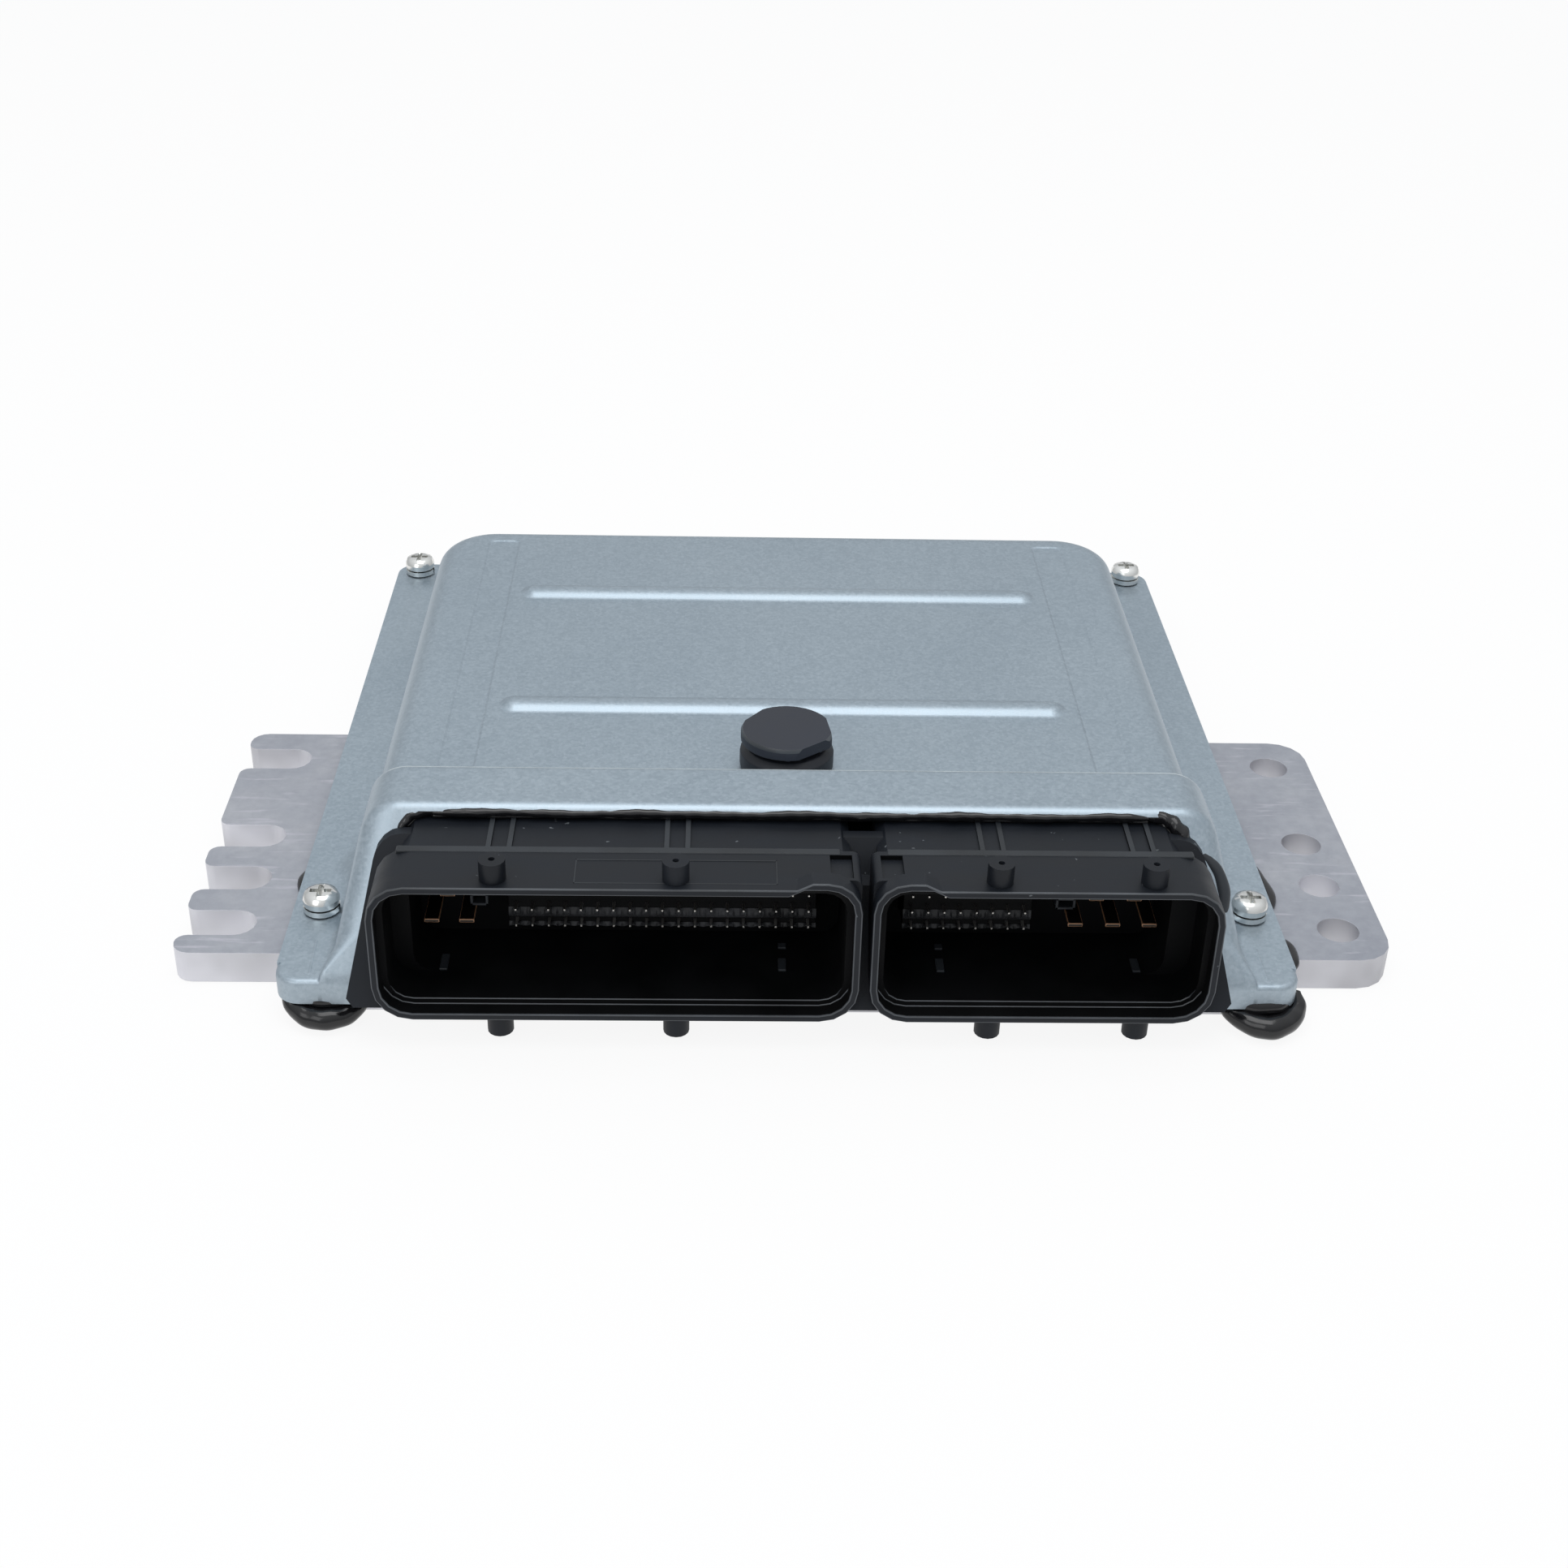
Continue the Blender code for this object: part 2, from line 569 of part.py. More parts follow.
def bead_form(name, y, shrink, low, high):
    """A stadium with sloping sides that stands on the plateau."""
    rings = []
    for inset, z in ((shrink, low), (shrink, high - BEAD_HEIGHT), (shrink + BEAD_HEIGHT * 0.9, high)):
        half = PLATEAU_EDGE - BEAD_MARGIN - inset
        wide = BEAD_WIDTH / 2.0 - inset
        outline = box_outline(-half, half, y - wide, y + wide, wide * 0.98, 5)
        rings.append([(px, py, z) for px, py in outline])
    return loft(name, rings)


def facet(z):
    """Distance behind the flange's front edge of the hood's slanting face at a height."""
    return (z - FLANGE_TOP) * HOOD_FRONT_SLOPE - COVER_FRONT


def make_cover():
    """The pressed sheet: flange, plateau, hood, front skirts, beads, steps, opening and holes."""
    half = COVER_EDGE
    low = FLANGE_TOP - SHEET
    outline = box_outline(-half, half, -COVER_FRONT, COVER_REAR, COVER_CORNER)
    cover = prism("cover", outline, low, FLANGE_TOP, ZINC_SHEET)
    combine(cover, plateau_form("form_plateau", 0.0, low + SHEET / 2.0), "UNION")
    combine(cover, hood_form("form_hood", 0.0, low + SHEET / 2.0), "UNION")
    combine(cover, skirts(half), "UNION")
    top = FLANGE_TOP + PLATEAU_HEIGHT
    beads = [bead_form("bead", y, 0.0, top - SHEET / 2.0, top + BEAD_HEIGHT) for y in BEAD_PLACES]
    combine(cover, gather("form_beads", beads), "UNION")
    hollow_low = low - SKIRT_DROP * 2.0
    combine(cover, plateau_form("cut_plateau_hollow", SHEET, hollow_low), "DIFFERENCE")
    combine(cover, hood_form("cut_hood_hollow", SHEET, hollow_low), "DIFFERENCE")
    hollows = [bead_form("bead", y, SHEET * 0.8, top - SHEET * 2.0, top + BEAD_HEIGHT - SHEET) for y in BEAD_PLACES]
    combine(cover, gather("cut_bead_hollows", hollows), "DIFFERENCE")
    steps = both_sides(step_strip)
    combine(cover, gather("cut_side_steps", steps), "DIFFERENCE")
    gate_top = FLANGE_TOP + HOOD_HEIGHT - SHEET + 4.0 * SINK
    gate = rounded(((-OPENING_FOOT, FLANGE_TOP, 0.0), (OPENING_FOOT, FLANGE_TOP, 0.0),
                    (OPENING_TOP, gate_top, OPENING_CORNER), (-OPENING_TOP, gate_top, OPENING_CORNER)))
    depth = SHEET * math.hypot(1.0, HOOD_FRONT_SLOPE) + SHEET / 4.0
    combine(cover, prism("cut_hood_opening", gate, -SHEET * 8.0, depth, along="Y", lean=facet), "DIFFERENCE")
    foot = box_outline(-SKIRT_START, SKIRT_START, -COVER_FRONT * 2.0, -COVER_FRONT + SHEET * 2.0)
    combine(cover, prism("cut_front_gate", foot, -RIM_HEIGHT, FLANGE_TOP + SHEET / 4.0), "DIFFERENCE")
    radius = SCREW_CLEARANCE_HOLE / 2.0
    holes = [round_bar("drill", radius, low - SHEET, FLANGE_TOP + SHEET, spot, segments=20)
             for spot in cover_screw_places()]
    holes.append(round_bar("drill", VENT_HOLE / 2.0, top - SHEET * 2.0, top + SHEET, (0.0, VENT_PLACE)))
    combine(cover, gather("cut_cover_holes", holes), "DIFFERENCE")
    return cover


def skirts(half):
    """The two front corners of the flange, bent down."""
    def corner(side, label):
        edge = half - SINK
        front = SINK - COVER_FRONT
        end = front + COVER_CORNER * 1.2
        outline = rounded_run(((side * SKIRT_START, front), (side * edge, front), (side * edge, end)),
                              (COVER_CORNER,), 4)
        inside = edge - SHEET
        inner = rounded_run(((side * SKIRT_START, front + SHEET), (side * inside, front + SHEET), (side * inside, end)),
                            (COVER_CORNER - SHEET,), 4)
        return prism("skirt_" + label, outline + list(reversed(inner)), FLANGE_TOP - SKIRT_DROP,
                     FLANGE_TOP - SHEET / 2.0)
    return gather("form_skirts", both_sides(corner))


def step_strip(side, label):
    """The shallow pressed strip along one side of the plateau."""
    top = FLANGE_TOP + PLATEAU_HEIGHT
    x = side * (PLATEAU_EDGE - STEP_MARGIN)
    front = HOOD_REAR_FOOT - (PLATEAU_HEIGHT - SHEET) * HOOD_REAR_SLOPE
    outline = box_outline(x - STEP_WIDTH / 2.0, x + STEP_WIDTH / 2.0, front, PLATEAU_REAR - STEP_REAR_MARGIN)
    return prism("step_" + label, outline, top - STEP_HEIGHT, top + SHEET)


def bay_outline(x0, x1, inner_side, inset, ear=0.0, square=False):
    """Outline of one connector bay in X and Z. Its inner top corner can carry an ear or be nearly square."""
    low = SHROUD_LOW + inset
    high = SHROUD_HIGH - inset
    left = x0 + inset
    right = x1 - inset
    bend = BAY_CORNER - inset
    inner_bend = LIP if square else bend * 0.9
    small = EAR_WIDTH * 0.12
    top = [(right, high + ear, inner_bend), (left, high, bend)]
    if ear:
        top[1:1] = [(right - EAR_WIDTH, high + ear, small), (right - EAR_WIDTH * 1.3, high, small)]
    if inner_side < 0:
        top = [(left + right - x, z, bend_here) for x, z, bend_here in reversed(top)]
    return rounded([(left, low, bend), (right, low, bend)] + top, 4)


def plate_outline():
    """Outline of the connector's sealing plate in X and Z."""
    foot = OPENING_FOOT + PLATE_FOOT_LAP
    top = OPENING_TOP + PLATE_TOP_LAP
    chamfer = PLATE_THICKNESS * 0.6
    return rounded(((-foot + chamfer, PLATE_LOW, 0.0), (foot - chamfer, PLATE_LOW, 0.0),
                    (foot, PLATE_LOW + chamfer, 0.0), (top, PLATE_HIGH, PLATE_CORNER),
                    (-top, PLATE_HIGH, PLATE_CORNER), (-foot, PLATE_LOW + chamfer, 0.0)))


def block_outline(x0, x1):
    """Section of the block behind the bays, with chamfered top edges."""
    c = BLOCK_CHAMFER
    return ((x0, SHROUD_LOW), (x1, SHROUD_LOW), (x1, BLOCK_TOP - c), (x1 - c, BLOCK_TOP), (x0 + c, BLOCK_TOP),
            (x0, BLOCK_TOP - c))


def carriers():
    """The two contact carriers: name, first column, columns. A wider bay holds more columns."""
    listed = []
    for label, bay, margins in (("left", LEFT_BAY, LEFT_PIN_MARGINS), ("right", RIGHT_BAY, RIGHT_PIN_MARGINS)):
        run = bay[1] - bay[0] - margins[0] - margins[1]
        listed.append(("contact_carrier_" + label, bay[0] + margins[0], max(int(run / PIN_PITCH + 0.01), 1) + 1))
    return listed


def carrier_box(first, columns):
    """Outer limits of a carrier in X and Z."""
    x0 = first - PIN_PITCH / 2.0
    z0 = ROW_FIRST - ROW_PITCH / 2.0
    return x0, x0 + columns * PIN_PITCH, z0, z0 + ROWS * ROW_PITCH


def blades():
    """Every power blade: side, number and place in X and Z. The rows are staggered."""
    low, middle, high = BLADE_ROWS
    left = [LEFT_BAY[0] + offset for offset in BLADE_COLUMNS_LEFT]
    right = [RIGHT_BAY[1] - offset for offset in BLADE_COLUMNS_RIGHT]
    places = {"left": [(x, low) for x in left[::2]] + [(x, middle) for x in left[1::2]] + [(x, high) for x in left[::2]],
              "right": [(x, low) for x in right[::2]] + [(x, middle) for x in right[1::2]]
              + [(x, high) for x in right[::2]]}
    return [(label, number + 1, x, z) for label, group in places.items() for number, (x, z) in enumerate(group)]


def make_housing():
    """The moulded connector: two bays, sealing plate, rear blocks, ribs, lever pegs and latch pockets."""
    lip_back = -MOUTH_REACH + LIP_DEPTH + LIP / 2.0
    housing = prism("connector_housing", bay_outline(*LEFT_BAY, 1, 0.0, EAR_RISE), -MOUTH_REACH, lip_back, MOULDING, "Y")
    combine(housing, prism("form_right_lip", bay_outline(*RIGHT_BAY, -1, 0.0, EAR_RISE), -MOUTH_REACH, lip_back,
                           along="Y"), "UNION")
    for label, bay, side in (("left", LEFT_BAY, 1), ("right", RIGHT_BAY, -1)):
        combine(housing, prism("form_shroud_" + label, bay_outline(*bay, side, SINK, square=True), lip_back - LIP / 4.0,
                               -SHROUD_BACK, along="Y"), "UNION")
    gap = FIT * math.hypot(1.0, HOOD_FRONT_SLOPE)
    combine(housing, prism("form_sealing_plate", plate_outline(), -PLATE_THICKNESS - gap, -gap, along="Y",
                           lean=facet), "UNION")
    half = BLOCK_EDGE
    front = -SHROUD_BACK - LIP
    split = (BAY_SPLIT[0] - BLOCK_SPLIT_GAP, BAY_SPLIT[1] + BLOCK_SPLIT_GAP)
    for label, (x0, x1) in (("left", (-half, split[0])), ("right", (split[1], half))):
        combine(housing, prism("form_block_" + label, block_outline(x0, x1), front, BLOCK_REAR, along="Y"), "UNION")
    web = box_outline(split[0] - LIP, split[1] + LIP, SHROUD_LOW, SHROUD_HIGH - BAY_CORNER)
    combine(housing, prism("form_web", web, front + LIP / 2.0, BLOCK_REAR - LIP / 2.0, along="Y"), "UNION")
    ribs = [block_rib(x + shift) for x in PEG_PLACES for shift in (-RIB_SPREAD / 2.0, RIB_SPREAD / 2.0)]
    combine(housing, gather("form_block_ribs", ribs), "UNION")
    pegs = []
    y = -MOUTH_REACH + PEG_SETBACK
    for x in PEG_PLACES:
        pegs.append(round_bar("peg", PEG / 2.0, SHROUD_HIGH - LIP / 2.0, SHROUD_HIGH + PEG_RISE, (x, y), segments=16))
        pegs.append(round_bar("peg", PEG / 2.0, SHROUD_LOW - PEG_DROP, SHROUD_LOW + LIP / 2.0, (x, y), segments=16))
    combine(housing, gather("form_lever_pegs", pegs), "UNION")
    mouth_back = -MOUTH_REACH + LIP_DEPTH
    back = -MOUTH_REACH + BAY_DEPTH
    for label, bay, side in (("left", LEFT_BAY, 1), ("right", RIGHT_BAY, -1)):
        combine(housing, prism("cut_mouth_" + label, bay_outline(*bay, side, LIP, EAR_RISE), -MOUTH_REACH - LIP,
                               mouth_back, along="Y"), "DIFFERENCE")
        combine(housing, prism("cut_bay_" + label, bay_outline(*bay, side, SHROUD_WALL), -MOUTH_REACH - LIP,
                               -SHROUD_BACK - LIP, along="Y"), "DIFFERENCE")
        limit = half - LIP
        x0 = max(bay[0] + SHROUD_WALL, -limit)
        x1 = min(bay[1] - SHROUD_WALL, limit)
        deep = box_outline(x0, x1, SHROUD_LOW + SHROUD_WALL, BLOCK_TOP - SHROUD_WALL, BAY_CORNER / 2.0)
        combine(housing, prism("cut_deep_" + label, deep, -SHROUD_BACK - SHROUD_WALL, back, along="Y"), "DIFFERENCE")
    combine(housing, gather("cut_cover_clearance", both_sides(cover_clearance)), "DIFFERENCE")
    combine(housing, gather("cut_contact_ways", contact_ways(back)), "DIFFERENCE")
    latches = (BAY_SPLIT[0] - LATCH_SETBACK, BAY_SPLIT[1] + LATCH_SETBACK)
    small = [prism("pocket", latch_outline(x), SHROUD_HIGH - LATCH_DEPTH, SHROUD_HIGH * 2.0)
             for x in latches]
    small += [round_bar("drill", PEG_BORE / 2.0, SHROUD_HIGH + PEG_RISE / 2.0, SHROUD_HIGH * 2.0, (x, y), segments=10)
              for x in PEG_PLACES]
    combine(housing, gather("cut_small_pockets", small), "DIFFERENCE")
    return housing


def block_rib(x):
    """A low rib across the top of the block, flush with the bays."""
    outline = box_outline(x - RIB_WIDTH / 2.0, x + RIB_WIDTH / 2.0, BLOCK_TOP - LIP, (BLOCK_TOP + SHROUD_HIGH) / 2.0)
    return prism("rib", outline, -SHROUD_BACK - LIP / 2.0, BLOCK_REAR / 2.0, along="Y")


def latch_outline(x):
    """Plan of a latch pocket on top of a bay, behind its ear."""
    width, length = LATCH_SIZE
    back = -SHROUD_BACK - LIP
    return box_outline(x - width / 2.0, x + width / 2.0, back - length, back)


def cover_clearance(side, label):
    """Room for the cover's slanting face outside the opening."""
    top = FLANGE_TOP + HOOD_HEIGHT
    foot = side * (OPENING_FOOT - 2.0 * FIT)
    head = side * (OPENING_TOP - 2.0 * FIT)
    outer = side * COVER_EDGE
    outline = ((foot, -FLANGE_TOP), (outer, -FLANGE_TOP), (outer, top), (head, top), (foot, FLANGE_TOP))
    gap = FIT * math.hypot(1.0, HOOD_FRONT_SLOPE)
    return prism("clearance_" + label, outline, -gap, BODY_REAR, along="Y", lean=facet)


def contact_ways(back):
    """Windows in the back wall of the bays for the carriers and the blades."""
    ways = []
    for _, first, columns in carriers():
        x0, x1, z0, z1 = carrier_box(first, columns)
        outline = box_outline(x0 - FIT, x1 + FIT, z0 - FIT, z1 + FIT)
        ways.append(prism("way", outline, back - LIP, BLOCK_REAR + LIP, along="Y"))
    for _, _, x, z in blades():
        w = BLADE_WIDTH / 2.0 + FIT
        h = BLADE_THICKNESS / 2.0 + FIT
        ways.append(prism("way", box_outline(x - w, x + w, z - h, z + h), back - LIP, BLOCK_REAR + LIP, along="Y"))
    return ways


def make_carrier(name, first, columns):
    """Insulating block with one pin tip for each contact, pressed in from behind."""
    x0, _, z0, _ = carrier_box(first, columns)
    face_y = -MOUTH_REACH + TIP_DEPTH + TIP_STAND
    back_y = BLOCK_REAR + LIP
    form = bmesh.new()
    grid = {}
    for column in range(columns + 1):
        for row in range(ROWS + 1):
            point = (x0 + column * PIN_PITCH, face_y, z0 + row * ROW_PITCH)
            grid[column, row] = form.verts.new(point)
    for column in range(columns):
        for row in range(ROWS):
            form.faces.new((grid[column, row], grid[column + 1, row], grid[column + 1, row + 1],
                            grid[column, row + 1]))
    for cell in list(form.faces):
        square_step(form, cell, PIN, -TIP_STAND)
    border = [edge for edge in form.edges if edge.is_boundary]
    moved = bmesh.ops.extrude_edge_only(form, edges=border)["geom"]
    rim = {v for v in moved if isinstance(v, bmesh.types.BMVert)}
    bmesh.ops.translate(form, verts=list(rim), vec=(0.0, back_y - face_y, 0.0))
    loop = [e for e in form.edges if e.verts[0] in rim and e.verts[1] in rim]
    bmesh.ops.contextual_create(form, geom=loop)
    return mesh_from(name, form, MOULDING)


def square_step(form, face, size, depth):
    """Draws a square of the given size in a face and pushes it in by depth, or pulls it out."""
    centre = face.calc_center_median()
    bmesh.ops.inset_individual(form, faces=[face], thickness=1e-5)
    half = size / 2.0
    for vert in face.verts:
        offset = vert.co - centre
        vert.co = centre + Vector((math.copysign(half, offset.x), 0.0, math.copysign(half, offset.z)))
    grown = bmesh.ops.extrude_discrete_faces(form, faces=[face])["faces"][0]
    bmesh.ops.translate(form, verts=grown.verts, vec=(0.0, depth, 0.0))
    return grown


def make_blade(label, number, x, z):
    """A flat contact blade with a tapered tip and a leg bent down to the board."""
    tip = -MOUTH_REACH + BLADE_TIP_DEPTH
    half = BLADE_THICKNESS / 2.0
    board_top = FLOOR + BOARD_STAND + FIT + BOARD_THICKNESS
    leg = BLOCK_REAR + LIP + BLADE_THICKNESS * 1.6 + (z - ROW_FIRST) * 0.4
    nose = BLADE_WIDTH * 0.3
    side = ((tip, z - half / 3.0), (tip + nose, z - half), (leg - half, z - half), (leg - half, board_top + FIT),
            (leg + half, board_top + FIT), (leg + half, z + half), (tip + nose, z + half), (tip, z + half / 3.0))
    form = bmesh.new()
    face = form.faces.new([form.verts.new((x - BLADE_WIDTH / 2.0, y, height)) for y, height in side])
    moved = bmesh.ops.extrude_face_region(form, geom=[face])["geom"]
    bmesh.ops.translate(form, verts=[v for v in moved if isinstance(v, bmesh.types.BMVert)],
                        vec=(BLADE_WIDTH, 0.0, 0.0))
    return mesh_from(f"power_blade_{label}_{number}", form, CONTACT)


def make_screw(name, spot, seat, shank, head, head_height, reach, cross, surface):
    """A pan-head screw with a crossed recess. Its underside sits on seat."""
    x, y = spot
    r = head / 2.0
    s = shank / 2.0
    run = [(0.0, seat - reach), (s * 0.7, seat - reach), (s, seat - reach + s * 0.4), (s, seat), (r * 0.96, seat)]
    run += corner_arc((r, seat), (r, seat + head_height), (0.0, seat + head_height), head_height * 0.55, 2)
    run.append((0.0, seat + head_height))
    screw = turned(name, run, (x, y, 0.0), surface, 18)
    width, span, depth = cross
    top = seat + head_height
    first = prism("slot", box_outline(x - span / 2.0, x + span / 2.0, y - width / 2.0, y + width / 2.0), top - depth,
                  top + depth)
    second = prism("slot", box_outline(x - width / 2.0, x + width / 2.0, y - span / 2.0, y + span / 2.0),
                   top - depth, top + depth)
    combine(screw, gather("cut_slot_a_" + name, [first]), "DIFFERENCE")
    combine(screw, gather("cut_slot_b_" + name, [second]), "DIFFERENCE")
    return screw


def make_spring_washer(name, spot, seat):
    """A split ring under a screw head."""
    x, y = spot
    inner = SCREW_SHANK / 2.0 + FIT
    outer = SPRING_WASHER / 2.0
    t = SPRING_WASHER_THICKNESS
    ring = turned(name, ((inner, seat), (outer, seat), (outer, seat + t), (inner, seat + t)), (x, y, 0.0),
                  BRIGHT_ZINC, 20)
    cut = t * 0.45
    outline = ((x, y - cut), (x + outer * 1.2, y - cut * 2.2), (x + outer * 1.2, y - cut * 0.2), (x, y + cut))
    combine(ring, prism("cut_split_" + name, outline, seat - t, seat + t * 2.0), "DIFFERENCE")
    return ring


def make_fasteners():
    """Cover screws with spring washers, and board screws."""
    washer_seat = FLANGE_TOP + FIT
    head_seat = washer_seat + SPRING_WASHER_THICKNESS + FIT
    names = ("front_left", "front_right", "rear_left", "rear_right")
    reach = SCREW_REACH + SPRING_WASHER_THICKNESS
    for label, spot in zip(names, cover_screw_places()):
        make_spring_washer("spring_washer_" + label, spot, washer_seat)
        make_screw("cover_screw_" + label, spot, head_seat, SCREW_SHANK, SCREW_HEAD, SCREW_HEAD_HEIGHT, reach,
                   (CROSS_WIDTH, CROSS_SPAN, CROSS_DEPTH), BRIGHT_ZINC)
    board_seat = FLOOR + BOARD_STAND + FIT + BOARD_THICKNESS + FIT
    scale = BOARD_SCREW_HEAD / SCREW_HEAD
    for label, spot in zip(names, board_holes()):
        make_screw("board_screw_" + label, spot, board_seat, BOARD_SCREW_SHANK, BOARD_SCREW_HEAD,
                   BOARD_SCREW_HEAD_HEIGHT, BOARD_SCREW_REACH - FIT,
                   (CROSS_WIDTH * scale, CROSS_SPAN * scale, CROSS_DEPTH * scale), BRIGHT_ZINC)


def make_breather():
    """Breather body snapped into the plateau, its film, its seal and its cap."""
    top = FLANGE_TOP + PLATEAU_HEIGHT
    centre = (0.0, VENT_PLACE, 0.0)
    seat = top + FIT
    stem = VENT_STEM / 2.0
    bore = VENT_STEM_BORE / 2.0
    collar = VENT_COLLAR / 2.0
    waist = collar - VENT_GAP
    deep = top - SHEET - VENT_STEM_DEPTH
    collar_top = seat + VENT_COLLAR_HEIGHT
    groove = O_RING_SECTION + 2.0 * FIT
    snap = VENT_HOLE / 2.0 + FIT * 2.0
    under = top - SHEET - FIT
    film_seat = collar_top - VENT_GAP
    film = MEMBRANE / 2.0 + FIT
    body = turned("breather_body", (
        (bore, deep), (stem - VENT_GAP, deep), (snap, under - VENT_GAP * 1.5), (snap, under), (stem, under),
        (stem, seat + groove), (stem + groove + FIT, seat + groove), (stem + groove + FIT, seat), (collar, seat),
        (collar, collar_top - VENT_GAP), (waist, collar_top), (film, collar_top), (film, film_seat),
        (bore, film_seat)), centre, BREATHER, 28)
    middle = stem + FIT + O_RING_SECTION / 2.0
    ring_height = seat + FIT * 0.5 + O_RING_SECTION / 2.0
    circle = []
    for step in range(8):
        angle = math.tau * step / 8.0
        circle.append((middle + math.cos(angle) * O_RING_SECTION / 2.0,
                       ring_height + math.sin(angle) * O_RING_SECTION / 2.0))
    turned("breather_seal", circle, centre, RUBBER, 24)
    disc = MEMBRANE / 2.0
    film_low = film_seat + FIT
    turned("breather_film", ((0.0, film_low), (disc, film_low), (disc, film_low + MEMBRANE_THICKNESS),
                             (0.0, film_low + MEMBRANE_THICKNESS)), centre, FELT, 24)
    make_vent_cap(centre, collar_top, waist)
    return body


def make_vent_cap(centre, collar_top, waist):
    """Round cap with three flats, standing on short radial ribs over the body."""
    cap_low = collar_top + VENT_GAP
    radius = VENT_CAP / 2.0
    round_edge = VENT_CAP_THICKNESS * 0.3
    high = cap_low + VENT_CAP_THICKNESS
    cap = turned("breather_cap", ((0.0, cap_low), (radius, cap_low), (radius, high - round_edge),
                                  (radius - round_edge * 0.6, high), (0.0, high)), centre, BREATHER, 40)
    x, y, _ = centre
    ribs = []
    inner = MEMBRANE / 2.0 + 2.0 * FIT
    for step in range(VENT_RIB_COUNT):
        angle = math.tau * (step + 0.5) / VENT_RIB_COUNT
        out = Vector((math.cos(angle), math.sin(angle)))
        side = Vector((-out.y, out.x)) * (VENT_GAP * 0.35)
        root = Vector((x, y))
        corners = (root + out * inner - side, root + out * (waist - FIT) - side, root + out * (waist - FIT) + side,
                   root + out * inner + side)
        ribs.append(prism("rib", [tuple(c) for c in corners], collar_top + FIT, cap_low + VENT_GAP / 2.0))
    combine(cap, gather("form_vent_ribs", ribs), "UNION")
    flats = []
    for degrees in (-52.0, 8.0, 142.0):
        out = Vector((math.cos(math.radians(degrees)), math.sin(math.radians(degrees))))
        side = Vector((-out.y, out.x)) * radius
        near = Vector((x, y)) + out * (radius - VENT_FLAT_DEPTH)
        far = Vector((x, y)) + out * radius * 1.4
        corners = (near - side, far - side, far + side, near + side)
        flats.append(prism("flat", [tuple(c) for c in corners], cap_low - VENT_GAP / 4.0, high + VENT_GAP))
    for index, flat in enumerate(flats):
        combine(cap, gather(f"cut_flat_{index}", [flat]), "DIFFERENCE")
    return cap


def make_sealant():
    """Sealing bead in the rim's groove, bead over the connector and the squeezed-out corners."""
    sealing_ring("sealant_rim", GROOVE_WIDTH - 2.0 * FIT, RIM_HEIGHT - GROOVE_DEPTH + FIT, RIM_HEIGHT, SEALANT)
    half = BLOCK_EDGE - HOOD_BEND / 2.0
    low = max(BLOCK_TOP, (BLOCK_TOP + SHROUD_HIGH) / 2.0) + FIT
    high = FLANGE_TOP + HOOD_HEIGHT - SHEET - FIT
    front = HOOD_TOP_FRONT + SHEET * 2.0
    outline = box_outline(-half, half, front, BLOCK_REAR - LIP, LIP / 2.0)
    prism("sealant_connector", outline, low, high, SEALANT)
    both_sides(corner_sealant)


def corner_sealant(side, label):
    """A lump squeezed out under a front corner, with a neck that rises behind the skirt."""
    skirt_low = FLANGE_TOP - SKIRT_DROP
    neck_front = SHEET + FIT - COVER_FRONT
    back = -BODY_FRONT - FIT
    inner = SKIRT_START + FIT
    outer = COVER_EDGE - COVER_CORNER
    rings = []
    layers = 6
    for layer in range(layers + 1):
        angle = math.pi * (layer / layers - 0.5)
        z = skirt_low / 2.0 + (skirt_low / 2.0 - FIT) * math.sin(angle) * 0.96
        swell = SEALANT_SWELL * math.cos(angle) ** 0.5 if layer < layers else 0.0
        squeeze = SEALANT_SWELL * (1.0 - math.cos(angle)) * 0.5 if layer * 2 < layers else 0.0
        rings.append((inner - swell * 0.4 + squeeze, outer + swell * 0.4 - squeeze, neck_front - swell, back, z))
    rings.append((inner, outer, neck_front, back, FLANGE_TOP - SHEET - FIT))
    shapes = []
    for x0, x1, front, rear, z in rings:
        low_x, high_x = sorted((side * x0, side * x1))
        outline = box_outline(low_x, high_x, front, rear, (rear - neck_front) * 0.3, 2)
        shapes.append([(x, y, z) for x, y in outline])
    lump = loft("sealant_corner_" + label, shapes)
    lump.data.materials.append(SEALANT)
    return lump


def chip(name, x, y, size, base, surface, feet_per_side=0):
    """A moulded chip with a bevelled top and, where it has them, feet along two sides."""
    w, d, height = size[0] / 2.0, size[1] / 2.0, size[2]
    c = height * 0.18
    rings = []
    for inset, z in ((c, base + height * 0.12), (0.0, base + height * 0.5), (c, base + height)):
        rings.append([(x - w + inset, y - d + inset, z), (x + w - inset, y - d + inset, z),
                      (x + w - inset, y + d - inset, z), (x - w + inset, y + d - inset, z)])
    body = loft(name, rings)
    body.data.materials.append(surface)
    feet = []
    for index in range(feet_per_side):
        px = x + (index - (feet_per_side - 1) / 2.0) * 2.0 * w / feet_per_side
        half = FOOT_PITCH * 0.25
        outline = box_outline(px - half, px + half, y - d - FOOT_PITCH, y + d + FOOT_PITCH)
        feet.append(prism("foot", outline, base, base + height * 0.3))
    if feet:
        combine(body, gather("form_feet_" + name, feet), "UNION")
    return body


